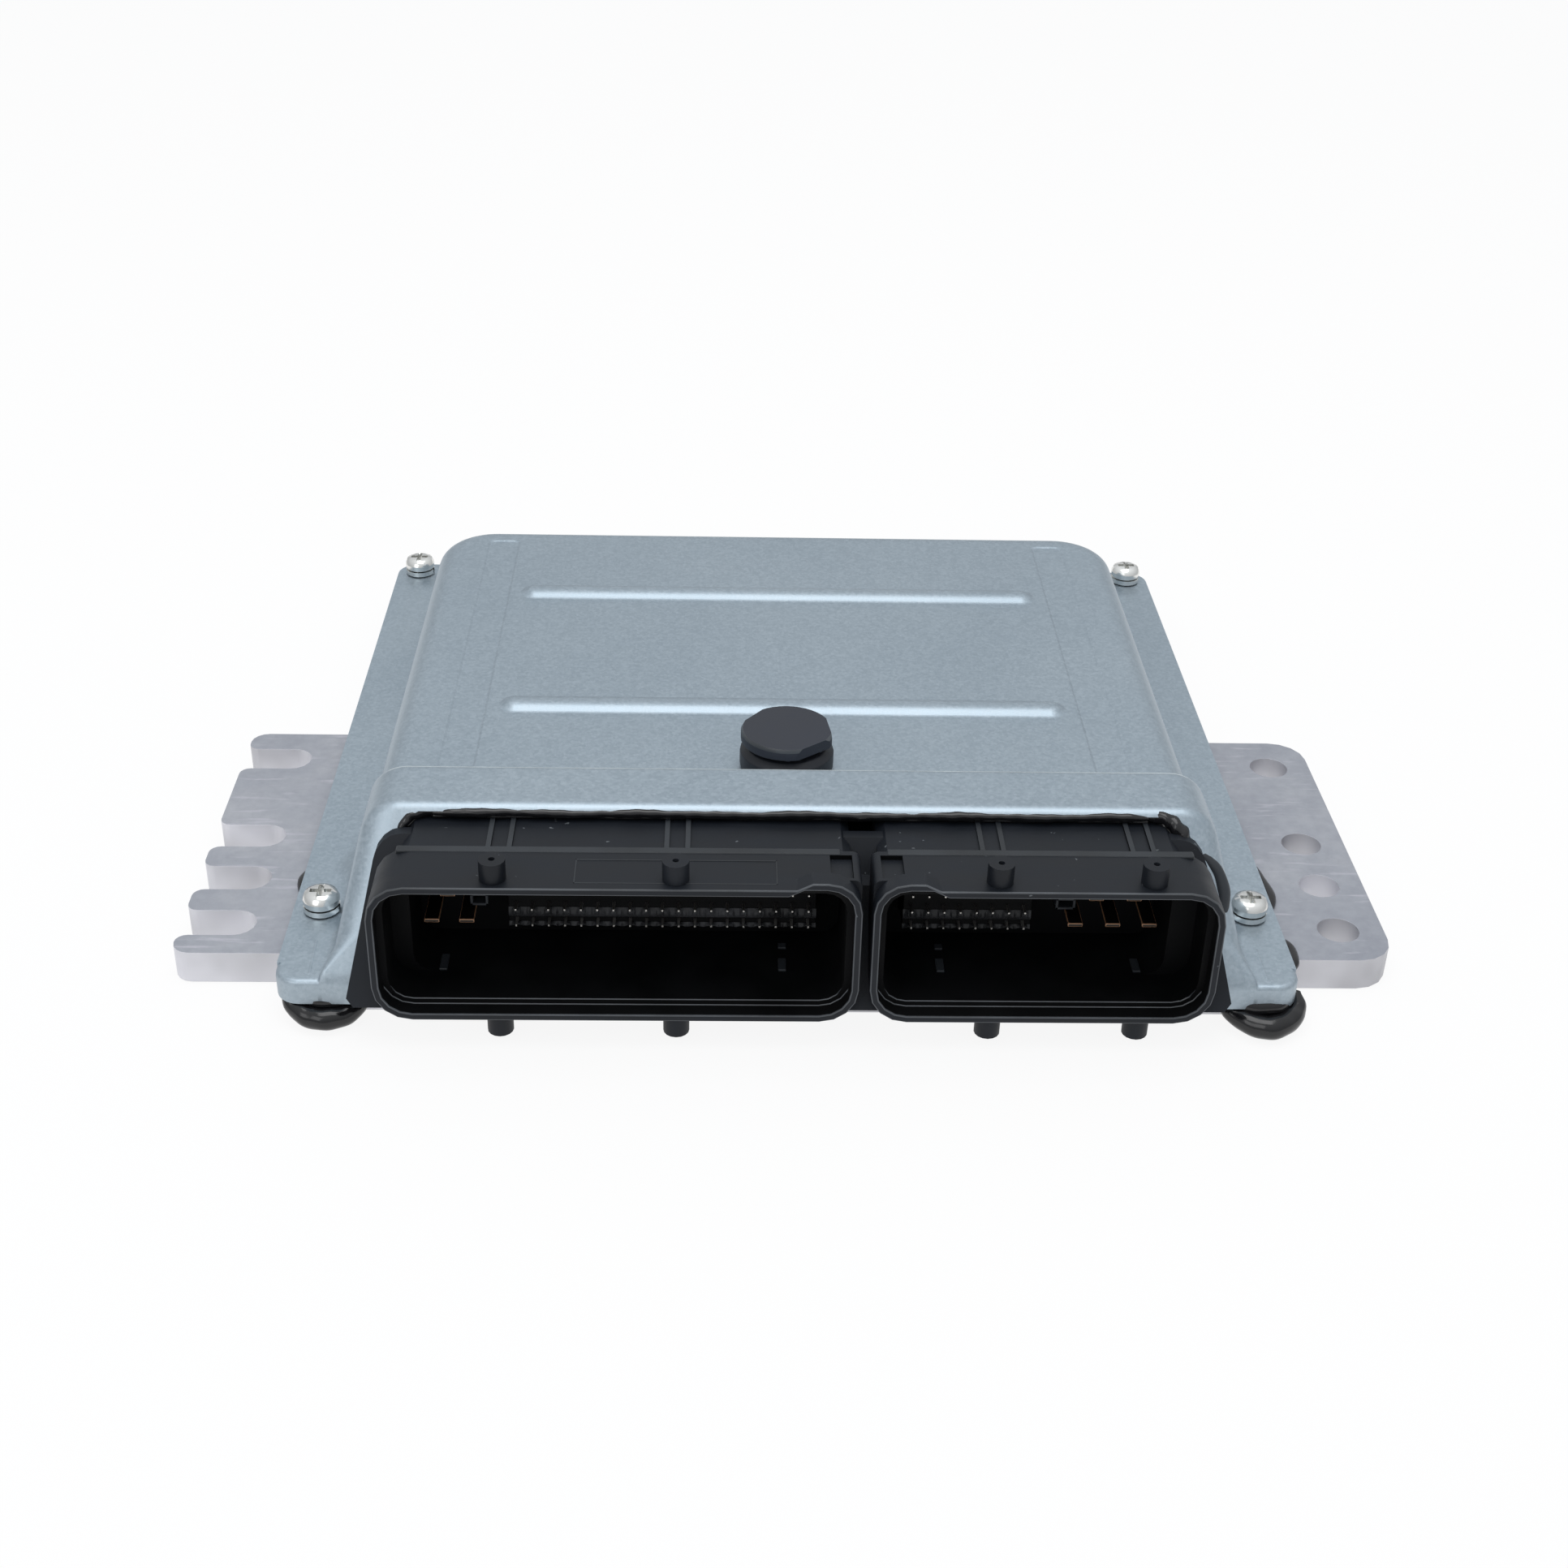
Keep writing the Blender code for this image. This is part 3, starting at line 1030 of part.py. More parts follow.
def make_board():
    """The circuit board with the components that need room under the cover."""
    half = BOARD_EDGE
    low = FLOOR + BOARD_STAND + FIT
    top = low + BOARD_THICKNESS
    board = prism("circuit_board", box_outline(-half, half, BOARD_FRONT, BOARD_REAR, BOARD_CORNER), low, top, BOARD)
    holes = [round_bar("drill", BOARD_HOLE / 2.0, low - BOARD_THICKNESS, top + BOARD_THICKNESS, spot, segments=16)
             for spot in board_holes()]
    combine(board, gather("cut_board_holes", holes), "DIFFERENCE")
    base = top + FIT
    depth = BOARD_REAR - BOARD_FRONT
    width = 2.0 * half
    row_one = BOARD_FRONT + depth * 0.42
    row_two = BOARD_FRONT + depth * 0.66
    row_three = BOARD_FRONT + depth * 0.86
    chip("microcontroller", width * -0.06, row_two, CONTROLLER_SIZE, base, CHIP, 8)
    chip("injector_driver", width * -0.30, row_two, DRIVER_SIZE, base, CHIP, 6)
    chip("ignition_driver", width * 0.16, row_two, DRIVER_SIZE, base, CHIP, 6)
    chip("voltage_regulator", width * 0.32, row_one, REGULATOR_SIZE, base, CHIP, 3)
    chip("pressure_sensor", width * 0.34, row_three, SENSOR_SIZE, base, CHIP, 4)
    chip("clock_crystal", width * -0.06, row_three, CRYSTAL_SIZE, base, CAN)
    for number, share in enumerate((-0.38, -0.28, -0.18)):
        capacitor(f"capacitor_{number + 1}", width * share, row_three, base)
    choke("input_choke", width * 0.10, row_one, base)
    heat_pad(low)


def capacitor(name, x, y, base):
    """An upright electrolytic capacitor with a rolled neck."""
    r = CAPACITOR / 2.0
    top = base + CAPACITOR_HEIGHT
    neck = r * 0.12
    profile = ((0.0, base), (r, base), (r, base + neck), (r - neck, base + 2.0 * neck), (r, base + 3.0 * neck),
               (r, top - neck), (r - neck, top), (0.0, top))
    return turned(name, profile, (x, y, 0.0), CAN, 18)


def choke(name, x, y, base):
    """A ferrite ring core lying flat."""
    inner = CHOKE_BORE / 2.0
    outer = CHOKE / 2.0
    top = base + CHOKE_HEIGHT
    c = CHOKE_HEIGHT * 0.2
    profile = ((inner, base + c), (inner + c, base), (outer - c, base), (outer, base + c),
               (outer, top - c), (outer - c, top), (inner + c, top), (inner, top - c))
    return turned(name, profile, (x, y, 0.0), FERRITE, 24)


def heat_pad(board_low):
    """The soft pad that carries the drivers' heat from the board into the casting."""
    w, d = PAD_SIZE
    y = BOARD_FRONT + (BOARD_REAR - BOARD_FRONT) * 0.66
    outline = box_outline(-w / 2.0, w / 2.0, y - d / 2.0, y + d / 2.0, PAD_CORNER)
    return prism("heat_pad", outline, FLOOR + FIT, board_low - FIT, PAD)


make_base()
make_cover()
make_housing()
for carrier in carriers():
    make_carrier(*carrier)
for blade in blades():
    make_blade(*blade)
make_fasteners()
make_breather()
make_sealant()
make_board()
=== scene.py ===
"""Looks of the engine control unit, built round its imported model."""
import json
import math

import bmesh
import bpy
from mathutils import Matrix, Vector

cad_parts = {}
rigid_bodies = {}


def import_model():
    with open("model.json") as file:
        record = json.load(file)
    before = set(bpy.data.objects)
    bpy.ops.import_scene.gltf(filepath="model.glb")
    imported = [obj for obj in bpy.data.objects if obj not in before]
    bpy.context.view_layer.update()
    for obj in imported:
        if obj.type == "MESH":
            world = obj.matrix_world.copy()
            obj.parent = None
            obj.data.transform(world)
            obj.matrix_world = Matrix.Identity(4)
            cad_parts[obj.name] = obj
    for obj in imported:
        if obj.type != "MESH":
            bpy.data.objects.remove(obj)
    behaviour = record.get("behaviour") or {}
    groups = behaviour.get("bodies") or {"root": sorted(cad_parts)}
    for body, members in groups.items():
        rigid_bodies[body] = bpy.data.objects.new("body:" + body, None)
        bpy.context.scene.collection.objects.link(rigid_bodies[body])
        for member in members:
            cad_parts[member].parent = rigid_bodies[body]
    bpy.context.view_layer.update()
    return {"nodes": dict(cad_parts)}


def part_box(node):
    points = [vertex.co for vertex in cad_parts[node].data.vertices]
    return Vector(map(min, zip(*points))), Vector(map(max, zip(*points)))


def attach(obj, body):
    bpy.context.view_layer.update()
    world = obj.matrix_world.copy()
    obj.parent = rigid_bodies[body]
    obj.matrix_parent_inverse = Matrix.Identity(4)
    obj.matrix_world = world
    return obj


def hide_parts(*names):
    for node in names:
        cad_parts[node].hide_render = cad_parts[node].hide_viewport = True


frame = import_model()
MM = 0.001
DATUM = (19.7 - 164.0) / 2.0


def at(x, y, z):
    """A point given in millimetres, with y from the front edge of the wings."""
    return Vector((x * MM, (y + DATUM) * MM, z * MM))


# ---- camera, light and floor

PHOTO_WIDTH = 1932.0
FOCAL_PIXELS = 2588.72
SENSOR_WIDTH = 36.0
CAMERA_TURN = (31.137, -1.591, 2.082)
CAMERA_PLACE = (-13.63, -323.73, 240.64)
WHITE = (1.0, 1.0, 1.0, 1.0)
DAYLIGHT = (0.95, 0.975, 1.0, 1.0)
SKY_LOW = 0.46
SKY_HIGH = 1.0
FLOOR_COLOUR = (0.82, 0.82, 0.83, 1.0)
FLOOR_SIZE = 6.0
FLOOR_HEIGHT = -0.0002
FLOOR_WHITENESS = 0.90


def set_camera():
    """The photograph's viewing angle."""
    pitch, roll, yaw = (math.radians(v) for v in CAMERA_TURN)
    forward = Vector((math.sin(yaw) * math.cos(pitch), math.cos(yaw) * math.cos(pitch),
                      -math.sin(pitch)))
    level = Vector((math.cos(yaw), -math.sin(yaw), 0.0))
    down = forward.cross(level)
    right = math.cos(roll) * level + math.sin(roll) * down
    down = math.cos(roll) * down - math.sin(roll) * level
    lens = bpy.data.cameras.new("camera")
    lens.sensor_width = SENSOR_WIDTH
    lens.lens = FOCAL_PIXELS * SENSOR_WIDTH / PHOTO_WIDTH
    lens.clip_start = 0.01
    eye = bpy.data.objects.new("camera", lens)
    bpy.context.scene.collection.objects.link(eye)
    turn = Matrix((right, -down, -forward)).transposed().to_4x4()
    eye.matrix_world = Matrix.Translation(at(*CAMERA_PLACE)) @ turn
    bpy.context.scene.camera = eye


def wire(tree, *pairs):
    """Links each output to its input."""
    for source, socket in pairs:
        tree.links.new(source, socket)


def set_world():
    """Even daylight, brighter overhead, and white where the camera sees it."""
    world = bpy.data.worlds.new("soft_room")
    bpy.context.scene.world = world
    world.use_nodes = True
    tree = world.node_tree
    tree.nodes.clear()
    out = tree.nodes.new("ShaderNodeOutputWorld")
    seen = tree.nodes.new("ShaderNodeBackground")
    seen.inputs["Color"].default_value = WHITE
    lit = tree.nodes.new("ShaderNodeBackground")
    lit.inputs["Color"].default_value = DAYLIGHT
    place = tree.nodes.new("ShaderNodeTexCoord")
    split = tree.nodes.new("ShaderNodeSeparateXYZ")
    height = tree.nodes.new("ShaderNodeMapRange")
    height.inputs["From Min"].default_value = 0.0
    height.inputs["From Max"].default_value = 1.0
    height.inputs["To Min"].default_value = SKY_LOW
    height.inputs["To Max"].default_value = SKY_HIGH
    path = tree.nodes.new("ShaderNodeLightPath")
    mix = tree.nodes.new("ShaderNodeMixShader")
    wire(tree,
         (place.outputs["Generated"], split.inputs["Vector"]),
         (split.outputs["Z"], height.inputs["Value"]),
         (height.outputs["Result"], lit.inputs["Strength"]),
         (path.outputs["Is Camera Ray"], mix.inputs["Fac"]),
         (lit.outputs["Background"], mix.inputs[1]),
         (seen.outputs["Background"], mix.inputs[2]),
         (mix.outputs["Shader"], out.inputs["Surface"]))


def soft_light(name, place, size, power):
    """A square soft box that looks at the origin."""
    lamp = bpy.data.lights.new(name, "AREA")
    lamp.size = size
    lamp.energy = power
    body = bpy.data.objects.new(name, lamp)
    bpy.context.scene.collection.objects.link(body)
    body.location = place
    body.rotation_euler = (Vector() - Vector(place)).to_track_quat("-Z", "Y").to_euler()


def set_floor():
    """A floor that keeps the shadow and looks nearly white to the camera and in reflections."""
    bpy.ops.mesh.primitive_plane_add(size=FLOOR_SIZE, location=(0.0, 0.0, FLOOR_HEIGHT))
    floor = bpy.context.object
    floor.name = "floor"
    pale = bpy.data.materials.new("pale_floor")
    pale.use_nodes = True
    tree = pale.node_tree
    tree.nodes.clear()
    out = tree.nodes.new("ShaderNodeOutputMaterial")
    matt = tree.nodes.new("ShaderNodeBsdfDiffuse")
    matt.inputs["Color"].default_value = FLOOR_COLOUR
    plain = tree.nodes.new("ShaderNodeEmission")
    plain.inputs["Strength"].default_value = 1.0
    path = tree.nodes.new("ShaderNodeLightPath")
    shown = tree.nodes.new("ShaderNodeMath")
    shown.operation = "MAXIMUM"
    share = tree.nodes.new("ShaderNodeMath")
    share.operation = "MULTIPLY"
    share.inputs[1].default_value = FLOOR_WHITENESS
    mix = tree.nodes.new("ShaderNodeMixShader")
    wire(tree,
         (path.outputs["Is Camera Ray"], shown.inputs[0]),
         (path.outputs["Is Glossy Ray"], shown.inputs[1]),
         (shown.outputs["Value"], share.inputs[0]),
         (share.outputs["Value"], mix.inputs["Fac"]),
         (matt.outputs["BSDF"], mix.inputs[1]),
         (plain.outputs["Emission"], mix.inputs[2]),
         (mix.outputs["Shader"], out.inputs["Surface"]))
    floor.data.materials.append(pale)


# ---- surfaces

def surface(name, colour, roughness, metallic, specular=0.5):
    """A Principled surface with its node tree, ready for grain to be added."""
    made = bpy.data.materials.new(name)
    made.use_nodes = True
    shader = made.node_tree.nodes["Principled BSDF"]
    shader.inputs["Base Color"].default_value = (*colour, 1.0)
    shader.inputs["Roughness"].default_value = roughness
    shader.inputs["Metallic"].default_value = metallic
    shader.inputs["Specular IOR Level"].default_value = specular
    made.diffuse_color = (*colour, 1.0)
    return made


def noise(made, scale, detail=4.0, stretch=(1.0, 1.0, 1.0), rough=0.55):
    """A noise pattern on the object's own coordinates."""
    tree = made.node_tree
    place = tree.nodes.new("ShaderNodeTexCoord")
    mapping = tree.nodes.new("ShaderNodeMapping")
    mapping.inputs["Scale"].default_value = stretch
    grain = tree.nodes.new("ShaderNodeTexNoise")
    grain.inputs["Scale"].default_value = scale
    grain.inputs["Detail"].default_value = detail
    grain.inputs["Roughness"].default_value = rough
    tree.links.new(place.outputs["Object"], mapping.inputs["Vector"])
    tree.links.new(mapping.outputs["Vector"], grain.inputs["Vector"])
    return grain.outputs["Fac"]


def cells(made, scale):
    """A crystal pattern of flat patches, as zinc forms."""
    tree = made.node_tree
    place = tree.nodes.new("ShaderNodeTexCoord")
    grain = tree.nodes.new("ShaderNodeTexVoronoi")
    grain.inputs["Scale"].default_value = scale
    tree.links.new(place.outputs["Object"], grain.inputs["Vector"])
    split = tree.nodes.new("ShaderNodeSeparateColor")
    tree.links.new(grain.outputs["Color"], split.inputs["Color"])
    return split.outputs["Red"]


def ramp(made, value, stops):
    """Colours spread over a value."""
    node = made.node_tree.nodes.new("ShaderNodeValToRGB")
    made.node_tree.links.new(value, node.inputs["Fac"])
    band = node.color_ramp
    while len(band.elements) < len(stops):
        band.elements.new(0.5)
    for element, (place, colour) in zip(band.elements, stops):
        element.position = place
        element.color = (*colour, 1.0)
    return node.outputs["Color"]


def spread(made, value, low, high, start=0.0, end=1.0):
    """A value mapped onto another range."""
    node = made.node_tree.nodes.new("ShaderNodeMapRange")
    node.inputs["From Min"].default_value = start
    node.inputs["From Max"].default_value = end
    node.inputs["To Min"].default_value = low
    node.inputs["To Max"].default_value = high
    made.node_tree.links.new(value, node.inputs["Value"])
    return node.outputs["Result"]


def blend(made, share, first, second, kind="MIX"):
    """Two colours mixed by a share."""
    node = made.node_tree.nodes.new("ShaderNodeMix")
    node.data_type = "RGBA"
    node.blend_type = kind
    for source, number in ((share, 0), (first, 6), (second, 7)):
        socket = node.inputs[number]
        if isinstance(source, bpy.types.NodeSocket):
            made.node_tree.links.new(source, socket)
        elif isinstance(source, float):
            socket.default_value = source
        else:
            socket.default_value = (*source, 1.0)
    return node.outputs[2]


def sum_of(made, first, second, kind="ADD"):
    """Two values added, or put together by another operation."""
    node = made.node_tree.nodes.new("ShaderNodeMath")
    node.operation = kind
    for source, socket in ((first, node.inputs[0]), (second, node.inputs[1])):
        if isinstance(source, bpy.types.NodeSocket):
            made.node_tree.links.new(source, socket)
        else:
            socket.default_value = source
    return node.outputs["Value"]


def set_socket(made, name, value):
    """Links a value or a colour to the surface."""
    made.node_tree.links.new(value, made.node_tree.nodes["Principled BSDF"].inputs[name])


def relief(made, value, strength, depth):
    """Fine relief from a value."""
    node = made.node_tree.nodes.new("ShaderNodeBump")
    node.inputs["Strength"].default_value = strength
    node.inputs["Distance"].default_value = depth
    made.node_tree.links.new(value, node.inputs["Height"])
    set_socket(made, "Normal", node.outputs["Normal"])


def zinc_sheet():
    """Zinc-coated sheet: bluish grey, fine mottled grain, faint cloudy patches."""
    made = surface("zinc_coated_sheet", (0.36, 0.43, 0.46), 0.42, 0.85)
    fine = noise(made, 1500.0, 5.0, rough=0.62)
    grain = cells(made, 1500.0)
    cloud = noise(made, 30.0, 4.0)
    mottle = sum_of(made, sum_of(made, fine, 0.72, "MULTIPLY"),
                    sum_of(made, grain, 0.28, "MULTIPLY"))
    shade = ramp(made, mottle, ((0.28, (0.335, 0.400, 0.452)), (0.52, (0.38, 0.447, 0.50)),
                                (0.78, (0.44, 0.508, 0.562))))
    patch = ramp(made, cloud, ((0.3, (0.93, 0.94, 0.95)), (0.7, (1.0, 1.0, 1.0))))
    set_socket(made, "Base Color", blend(made, 1.0, shade, patch, "MULTIPLY"))
    set_socket(made, "Roughness", spread(made, mottle, 0.37, 0.50, 0.25, 0.75))
    relief(made, fine, 0.07, 0.00015)
    return made


def cast_metal():
    """Die-cast aluminium: light lavender grey, slightly blotchy, with faint scuffs."""
    made = surface("die_cast_aluminium", (0.50, 0.50, 0.55), 0.55, 0.55)
    skin = noise(made, 420.0, 6.0, rough=0.65)
    blotch = noise(made, 38.0, 5.0, rough=0.6)
    scuff = noise(made, 90.0, 3.0, (1.0, 7.0, 1.0))
    shade = ramp(made, blotch, ((0.3, (0.33, 0.345, 0.39)), (0.5, (0.385, 0.40, 0.44)),
                                (0.72, (0.46, 0.47, 0.50))))
    marks = ramp(made, scuff, ((0.60, (0.0, 0.0, 0.0)), (0.74, (1.0, 1.0, 1.0))))
    lit = blend(made, marks, shade, (0.50, 0.50, 0.55))
    specks = ramp(made, skin, ((0.35, (0.90, 0.90, 0.91)), (0.65, (1.0, 1.0, 1.0))))
    set_socket(made, "Base Color", blend(made, 1.0, lit, specks, "MULTIPLY"))
    set_socket(made, "Roughness", spread(made, blotch, 0.46, 0.66, 0.3, 0.7))
    relief(made, skin, 0.16, 0.0003)
    return made


def moulded_black():
    """Black moulding with a fine matt skin, a few dust specks and paler worn streaks."""
    made = surface("moulded_black", (0.007, 0.009, 0.012), 0.46, 0.0, 0.25)
    skin = noise(made, 1300.0, 4.0)
    dust = noise(made, 520.0, 2.0)
    wear = noise(made, 60.0, 4.0, (1.0, 2.5, 1.0))
    shade = ramp(made, wear, ((0.35, (0.0062, 0.0080, 0.0115)),
                              (0.7, (0.0100, 0.0127, 0.0178))))
    specks = ramp(made, dust, ((0.735, (0.0, 0.0, 0.0)), (0.76, (1.0, 1.0, 1.0))))
    set_socket(made, "Base Color", blend(made, specks, shade, (0.10, 0.11, 0.12)))
    set_socket(made, "Roughness", spread(made, wear, 0.40, 0.58, 0.3, 0.7))
    relief(made, skin, 0.10, 0.0001)
    return made


def grained(name, colour, roughness, metallic, specular=0.5, scale=700.0, depth=0.1,
            vary=0.12):
    """A surface with a small colour variation and fine relief."""
    made = surface(name, colour, roughness, metallic, specular)
    skin = noise(made, scale, 4.0)
    patch = noise(made, scale / 14.0, 3.0)
    low = tuple(c * (1.0 - vary) for c in colour)
    high = tuple(min(c * (1.0 + vary), 1.0) for c in colour)
    set_socket(made, "Base Color", ramp(made, patch, ((0.35, low), (0.65, high))))
    low, high = roughness * 0.85, min(roughness * 1.15, 1.0)
    set_socket(made, "Roughness", spread(made, patch, low, high, 0.35, 0.65))
    relief(made, skin, depth, 0.0001)
    return made


ZINC_SHEET = zinc_sheet()
CAST = cast_metal()
# A lighter copy of the cast metal, used as painted light on the casting's sides.
CAST_PAINTED_LIGHT_SIDE = grained("cast_painted_light_side", (0.62, 0.62, 0.655), 0.5, 0.75, 0.5, 500.0, 0.3, 0.25)
BLACK = moulded_black()
# Lighter zinc, used as a painted highlight along the bend behind the hood's roof.
ZINC_PAINTED_HIGHLIGHT = grained("zinc_painted_ridge_highlight", (0.62, 0.69, 0.71), 0.42, 0.85, 0.5, 1500.0, 0.07)
BREATHER_BASE = grained("breather_base", (0.014, 0.016, 0.021), 0.5, 0.0, 0.3, 1100.0, 0.08)
# Lighter grey-black, as a painted highlight on the mouth lips' rounds and the breather cap's rim.
EDGE_PAINTED_HIGHLIGHT = grained("painted_edge_highlight", (0.058, 0.064, 0.072), 0.42, 0.0, 0.45, 900.0, 0.1, 0.3)
# Grey-black for the keys, field lines and seal bulge. It is also painted light on the block tops
# and a painted highlight on the shrouds' back edges.
EDGE = grained("grey_black_and_painted_light", (0.020, 0.0235, 0.028), 0.45, 0.0, 0.35, 900.0, 0.1, 0.3)
# Near-black, as painted shade on the faces deep inside the bays and on the insulator behind the
# pins.
BAY_PAINTED_SHADE = grained("bay_painted_shade", (0.0022, 0.0024, 0.0028), 0.62, 0.0, 0.12, 900.0, 0.05, 0.3)
SADDLE = grained("ribbed_insulator", (0.024, 0.025, 0.028), 0.55, 0.0, 0.35, 800.0, 0.5, 0.6)
BREATHER = grained("breather_moulding", (0.023, 0.0265, 0.037), 0.5, 0.0, 0.34, 1100.0, 0.08)
BRIGHT = grained("bright_zinc", (0.78, 0.78, 0.76), 0.24, 1.0, scale=500.0, depth=0.12, vary=0.08)
TIN = grained("tinned_contact", (0.62, 0.60, 0.57), 0.35, 1.0, scale=900.0, depth=0.05)
DULL_TIN = grained("dull_tin", (0.05, 0.045, 0.04), 0.45, 1.0, scale=900.0, depth=0.05)
COPPER = grained("copper_edge", (0.36, 0.20, 0.115), 0.40, 0.35, 0.5, 900.0, 0.05)
SEALANT = grained("cured_sealant", (0.006, 0.006, 0.007), 0.16, 0.0, 0.5, 160.0, 0.3)
RUBBER = grained("soft_rubber", (0.02, 0.02, 0.02), 0.65, 0.0, 0.4)
FILM = grained("breather_film", (0.72, 0.72, 0.70), 0.85, 0.0, 0.2, 1500.0, 0.3)
BOARD = grained("coated_board", (0.012, 0.07, 0.03), 0.35, 0.0, 0.5, 300.0, 0.05)
CHIP = grained("chip_body", (0.014, 0.014, 0.015), 0.55, 0.0, 0.4)
CAN = grained("metal_can", (0.62, 0.63, 0.65), 0.3, 0.95)
FERRITE = grained("ferrite_core", (0.05, 0.05, 0.055), 0.6, 0.0, 0.4, 300.0, 0.3)
PAD = grained("heat_pad", (0.30, 0.32, 0.40), 0.85, 0.0, 0.3)

NODE_SURFACES = {
    "cover": ZINC_SHEET, "base_casting": CAST, "connector_housing": BLACK,
    "contact_carrier": BLACK, "power_blade": COPPER, "breather_body": BREATHER,
    "breather_cap": BREATHER, "breather_seal": RUBBER, "breather_film": FILM,
    "sealant": SEALANT, "circuit_board": BOARD, "microcontroller": CHIP,
    "injector_driver": CHIP, "ignition_driver": CHIP, "voltage_regulator": CHIP,
    "pressure_sensor": CHIP, "clock_crystal": CAN, "capacitor": CAN, "input_choke": FERRITE,
    "heat_pad": PAD, "cover_screw": BRIGHT, "spring_washer": BRIGHT, "board_screw": BRIGHT,
}


def surface_of(node):
    """The surface of a node by the longest start of its name."""
    found = [key for key in NODE_SURFACES if node.startswith(key)]
    return NODE_SURFACES[max(found, key=len)]


def paint(item, made):
    """Gives an object one surface."""
    item.data.materials.clear()
    item.data.materials.append(made)


def paint_faces(item, made, test):
    """Adds a surface and gives it to the faces that pass a test."""
    item.data.materials.append(made)
    for face in item.data.polygons:
        if test(face):
            face.material_index = len(item.data.materials) - 1


# ---- pieces

MERGE_DISTANCE = 2e-6
FLAT_ANGLE = 0.6


def only_none():
    """Leaves nothing selected."""
    for other in bpy.context.view_layer.objects:
        other.select_set(False)


def only(item):
    """Leaves one object selected and active."""
    only_none()
    item.select_set(True)
    bpy.context.view_layer.objects.active = item


def linked(name, mesh):
    """A new object with a mesh."""
    item = bpy.data.objects.new(name, mesh)
    bpy.context.scene.collection.objects.link(item)
    return item


def object_of(name, form):
    """A new object made from a form, which ends here."""
    mesh = bpy.data.meshes.new(name)
    write_back(form, mesh)
    return linked(name, mesh)


def form_of(mesh):
    """A form filled from a mesh."""
    form = bmesh.new()
    form.from_mesh(mesh)
    return form


def write_back(form, mesh):
    """Stores a form in a mesh and ends it."""
    form.to_mesh(mesh)
    form.free()


def soften_edges(item, width, angle=35.0, segments=2):
    """A small round on every edge that turns more than the angle."""
    only(item)
    soften = item.modifiers.new("soften", "BEVEL")
    soften.width = width * MM
    soften.segments = segments
    soften.limit_method = "ANGLE"
    soften.angle_limit = math.radians(angle)
    bpy.ops.object.modifier_apply(modifier="soften")


def smooth(item, angle=40.0):
    """Smooth shading, with the large faces setting it, so that flat areas stay flat."""
    only(item)
    bpy.ops.object.shade_smooth_by_angle(angle=math.radians(angle))
    even = item.modifiers.new("even", "WEIGHTED_NORMAL")
    even.keep_sharp = True
    bpy.ops.object.modifier_apply(modifier="even")


def merged_mesh(node):
    """A copy of a node's mesh with doubled points merged and flat areas made one face."""
    mesh = frame["nodes"][node].data.copy()
    form = form_of(mesh)
    bmesh.ops.remove_doubles(form, verts=form.verts, dist=MERGE_DISTANCE)
    bmesh.ops.dissolve_limit(form, angle_limit=math.radians(FLAT_ANGLE), verts=form.verts,
                             edges=form.edges)
    write_back(form, mesh)
    mesh.materials.clear()
    return mesh


def trim_piece(item):
    """A piece that rides on the body and stands for no node."""
    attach(item, "root")


def finish_piece(item, node):
    """A finished piece stands for its node and rides on the body."""
    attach(item, "root")
    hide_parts(node)


def dressed(node, bevel=0.0):
    """A merged and smoothed copy of a node's object, with softened edges. It keeps the node's own
    marks."""
    copy = frame["nodes"][node].copy()
    copy.data = merged_mesh(node)
    copy.name = node + "_finish"
    copy.parent = None
    copy.matrix_world = Matrix.Identity(4)
    bpy.context.scene.collection.objects.link(copy)
    if bevel:
        soften_edges(copy, bevel)
    smooth(copy, 35.0)
    paint(copy, surface_of(node))
    finish_piece(copy, node)
    return copy


def joined(name, pieces):
    """Several pieces made one object."""
    only_none()
    for piece in pieces:
        piece.select_set(True)
    bpy.context.view_layer.objects.active = pieces[0]
    bpy.ops.object.join()
    pieces[0].name = name
    return pieces[0]


def cube(name, spans, made, bevel=0.0, segments=2):
    """A block between its limits along x, y and z, with rounded edges."""
    only_none()
    size = [(high - low) * MM for low, high in spans]
    centre = at(*((low + high) / 2.0 for low, high in spans))
    bpy.ops.mesh.primitive_cube_add(size=1.0, location=centre, scale=size)
    block = bpy.context.object
    block.name = name
    bpy.ops.object.transform_apply(location=True, rotation=True, scale=True)
    block.data.materials.append(made)
    if bevel:
        soften_edges(block, bevel, 30.0, segments)
    return block


def repeated(name, source, shifts):
    """Copies of a piece's mesh at shifts in millimetres, in one mesh."""
    form = bmesh.new()
    for shift in shifts:
        start = len(form.verts)
        form.from_mesh(source.data)
        form.verts.ensure_lookup_table()
        bmesh.ops.translate(form, verts=form.verts[start:], vec=Vector(shift) * MM)
    item = object_of(name, form)
    for made in source.data.materials:
        item.data.materials.append(made)
    bpy.data.objects.remove(source, do_unlink=True)
    return item


# ---- outlines

def corner_arc(before, corner, after, radius, steps):
    """Points of a round between two straight runs that meet at a corner."""
    corner = Vector(corner)
    back = (Vector(before) - corner).normalized()
    ahead = (Vector(after) - corner).normalized()
    half = back.angle(ahead) / 2.0
    if radius <= 0.0 or half > math.radians(89.5):
        return [tuple(corner)]
    reach = radius / math.tan(half)
    centre = corner + (back + ahead).normalized() * (radius / math.sin(half))
    start = corner + back * reach - centre
    end = corner + ahead * reach - centre
    sweep = start.angle(end)
    if start.x * end.y - start.y * end.x <= 0.0:
        sweep = -sweep
    return [tuple(centre + Matrix.Rotation(sweep * step / steps, 2) @ start)
            for step in range(steps + 1)]


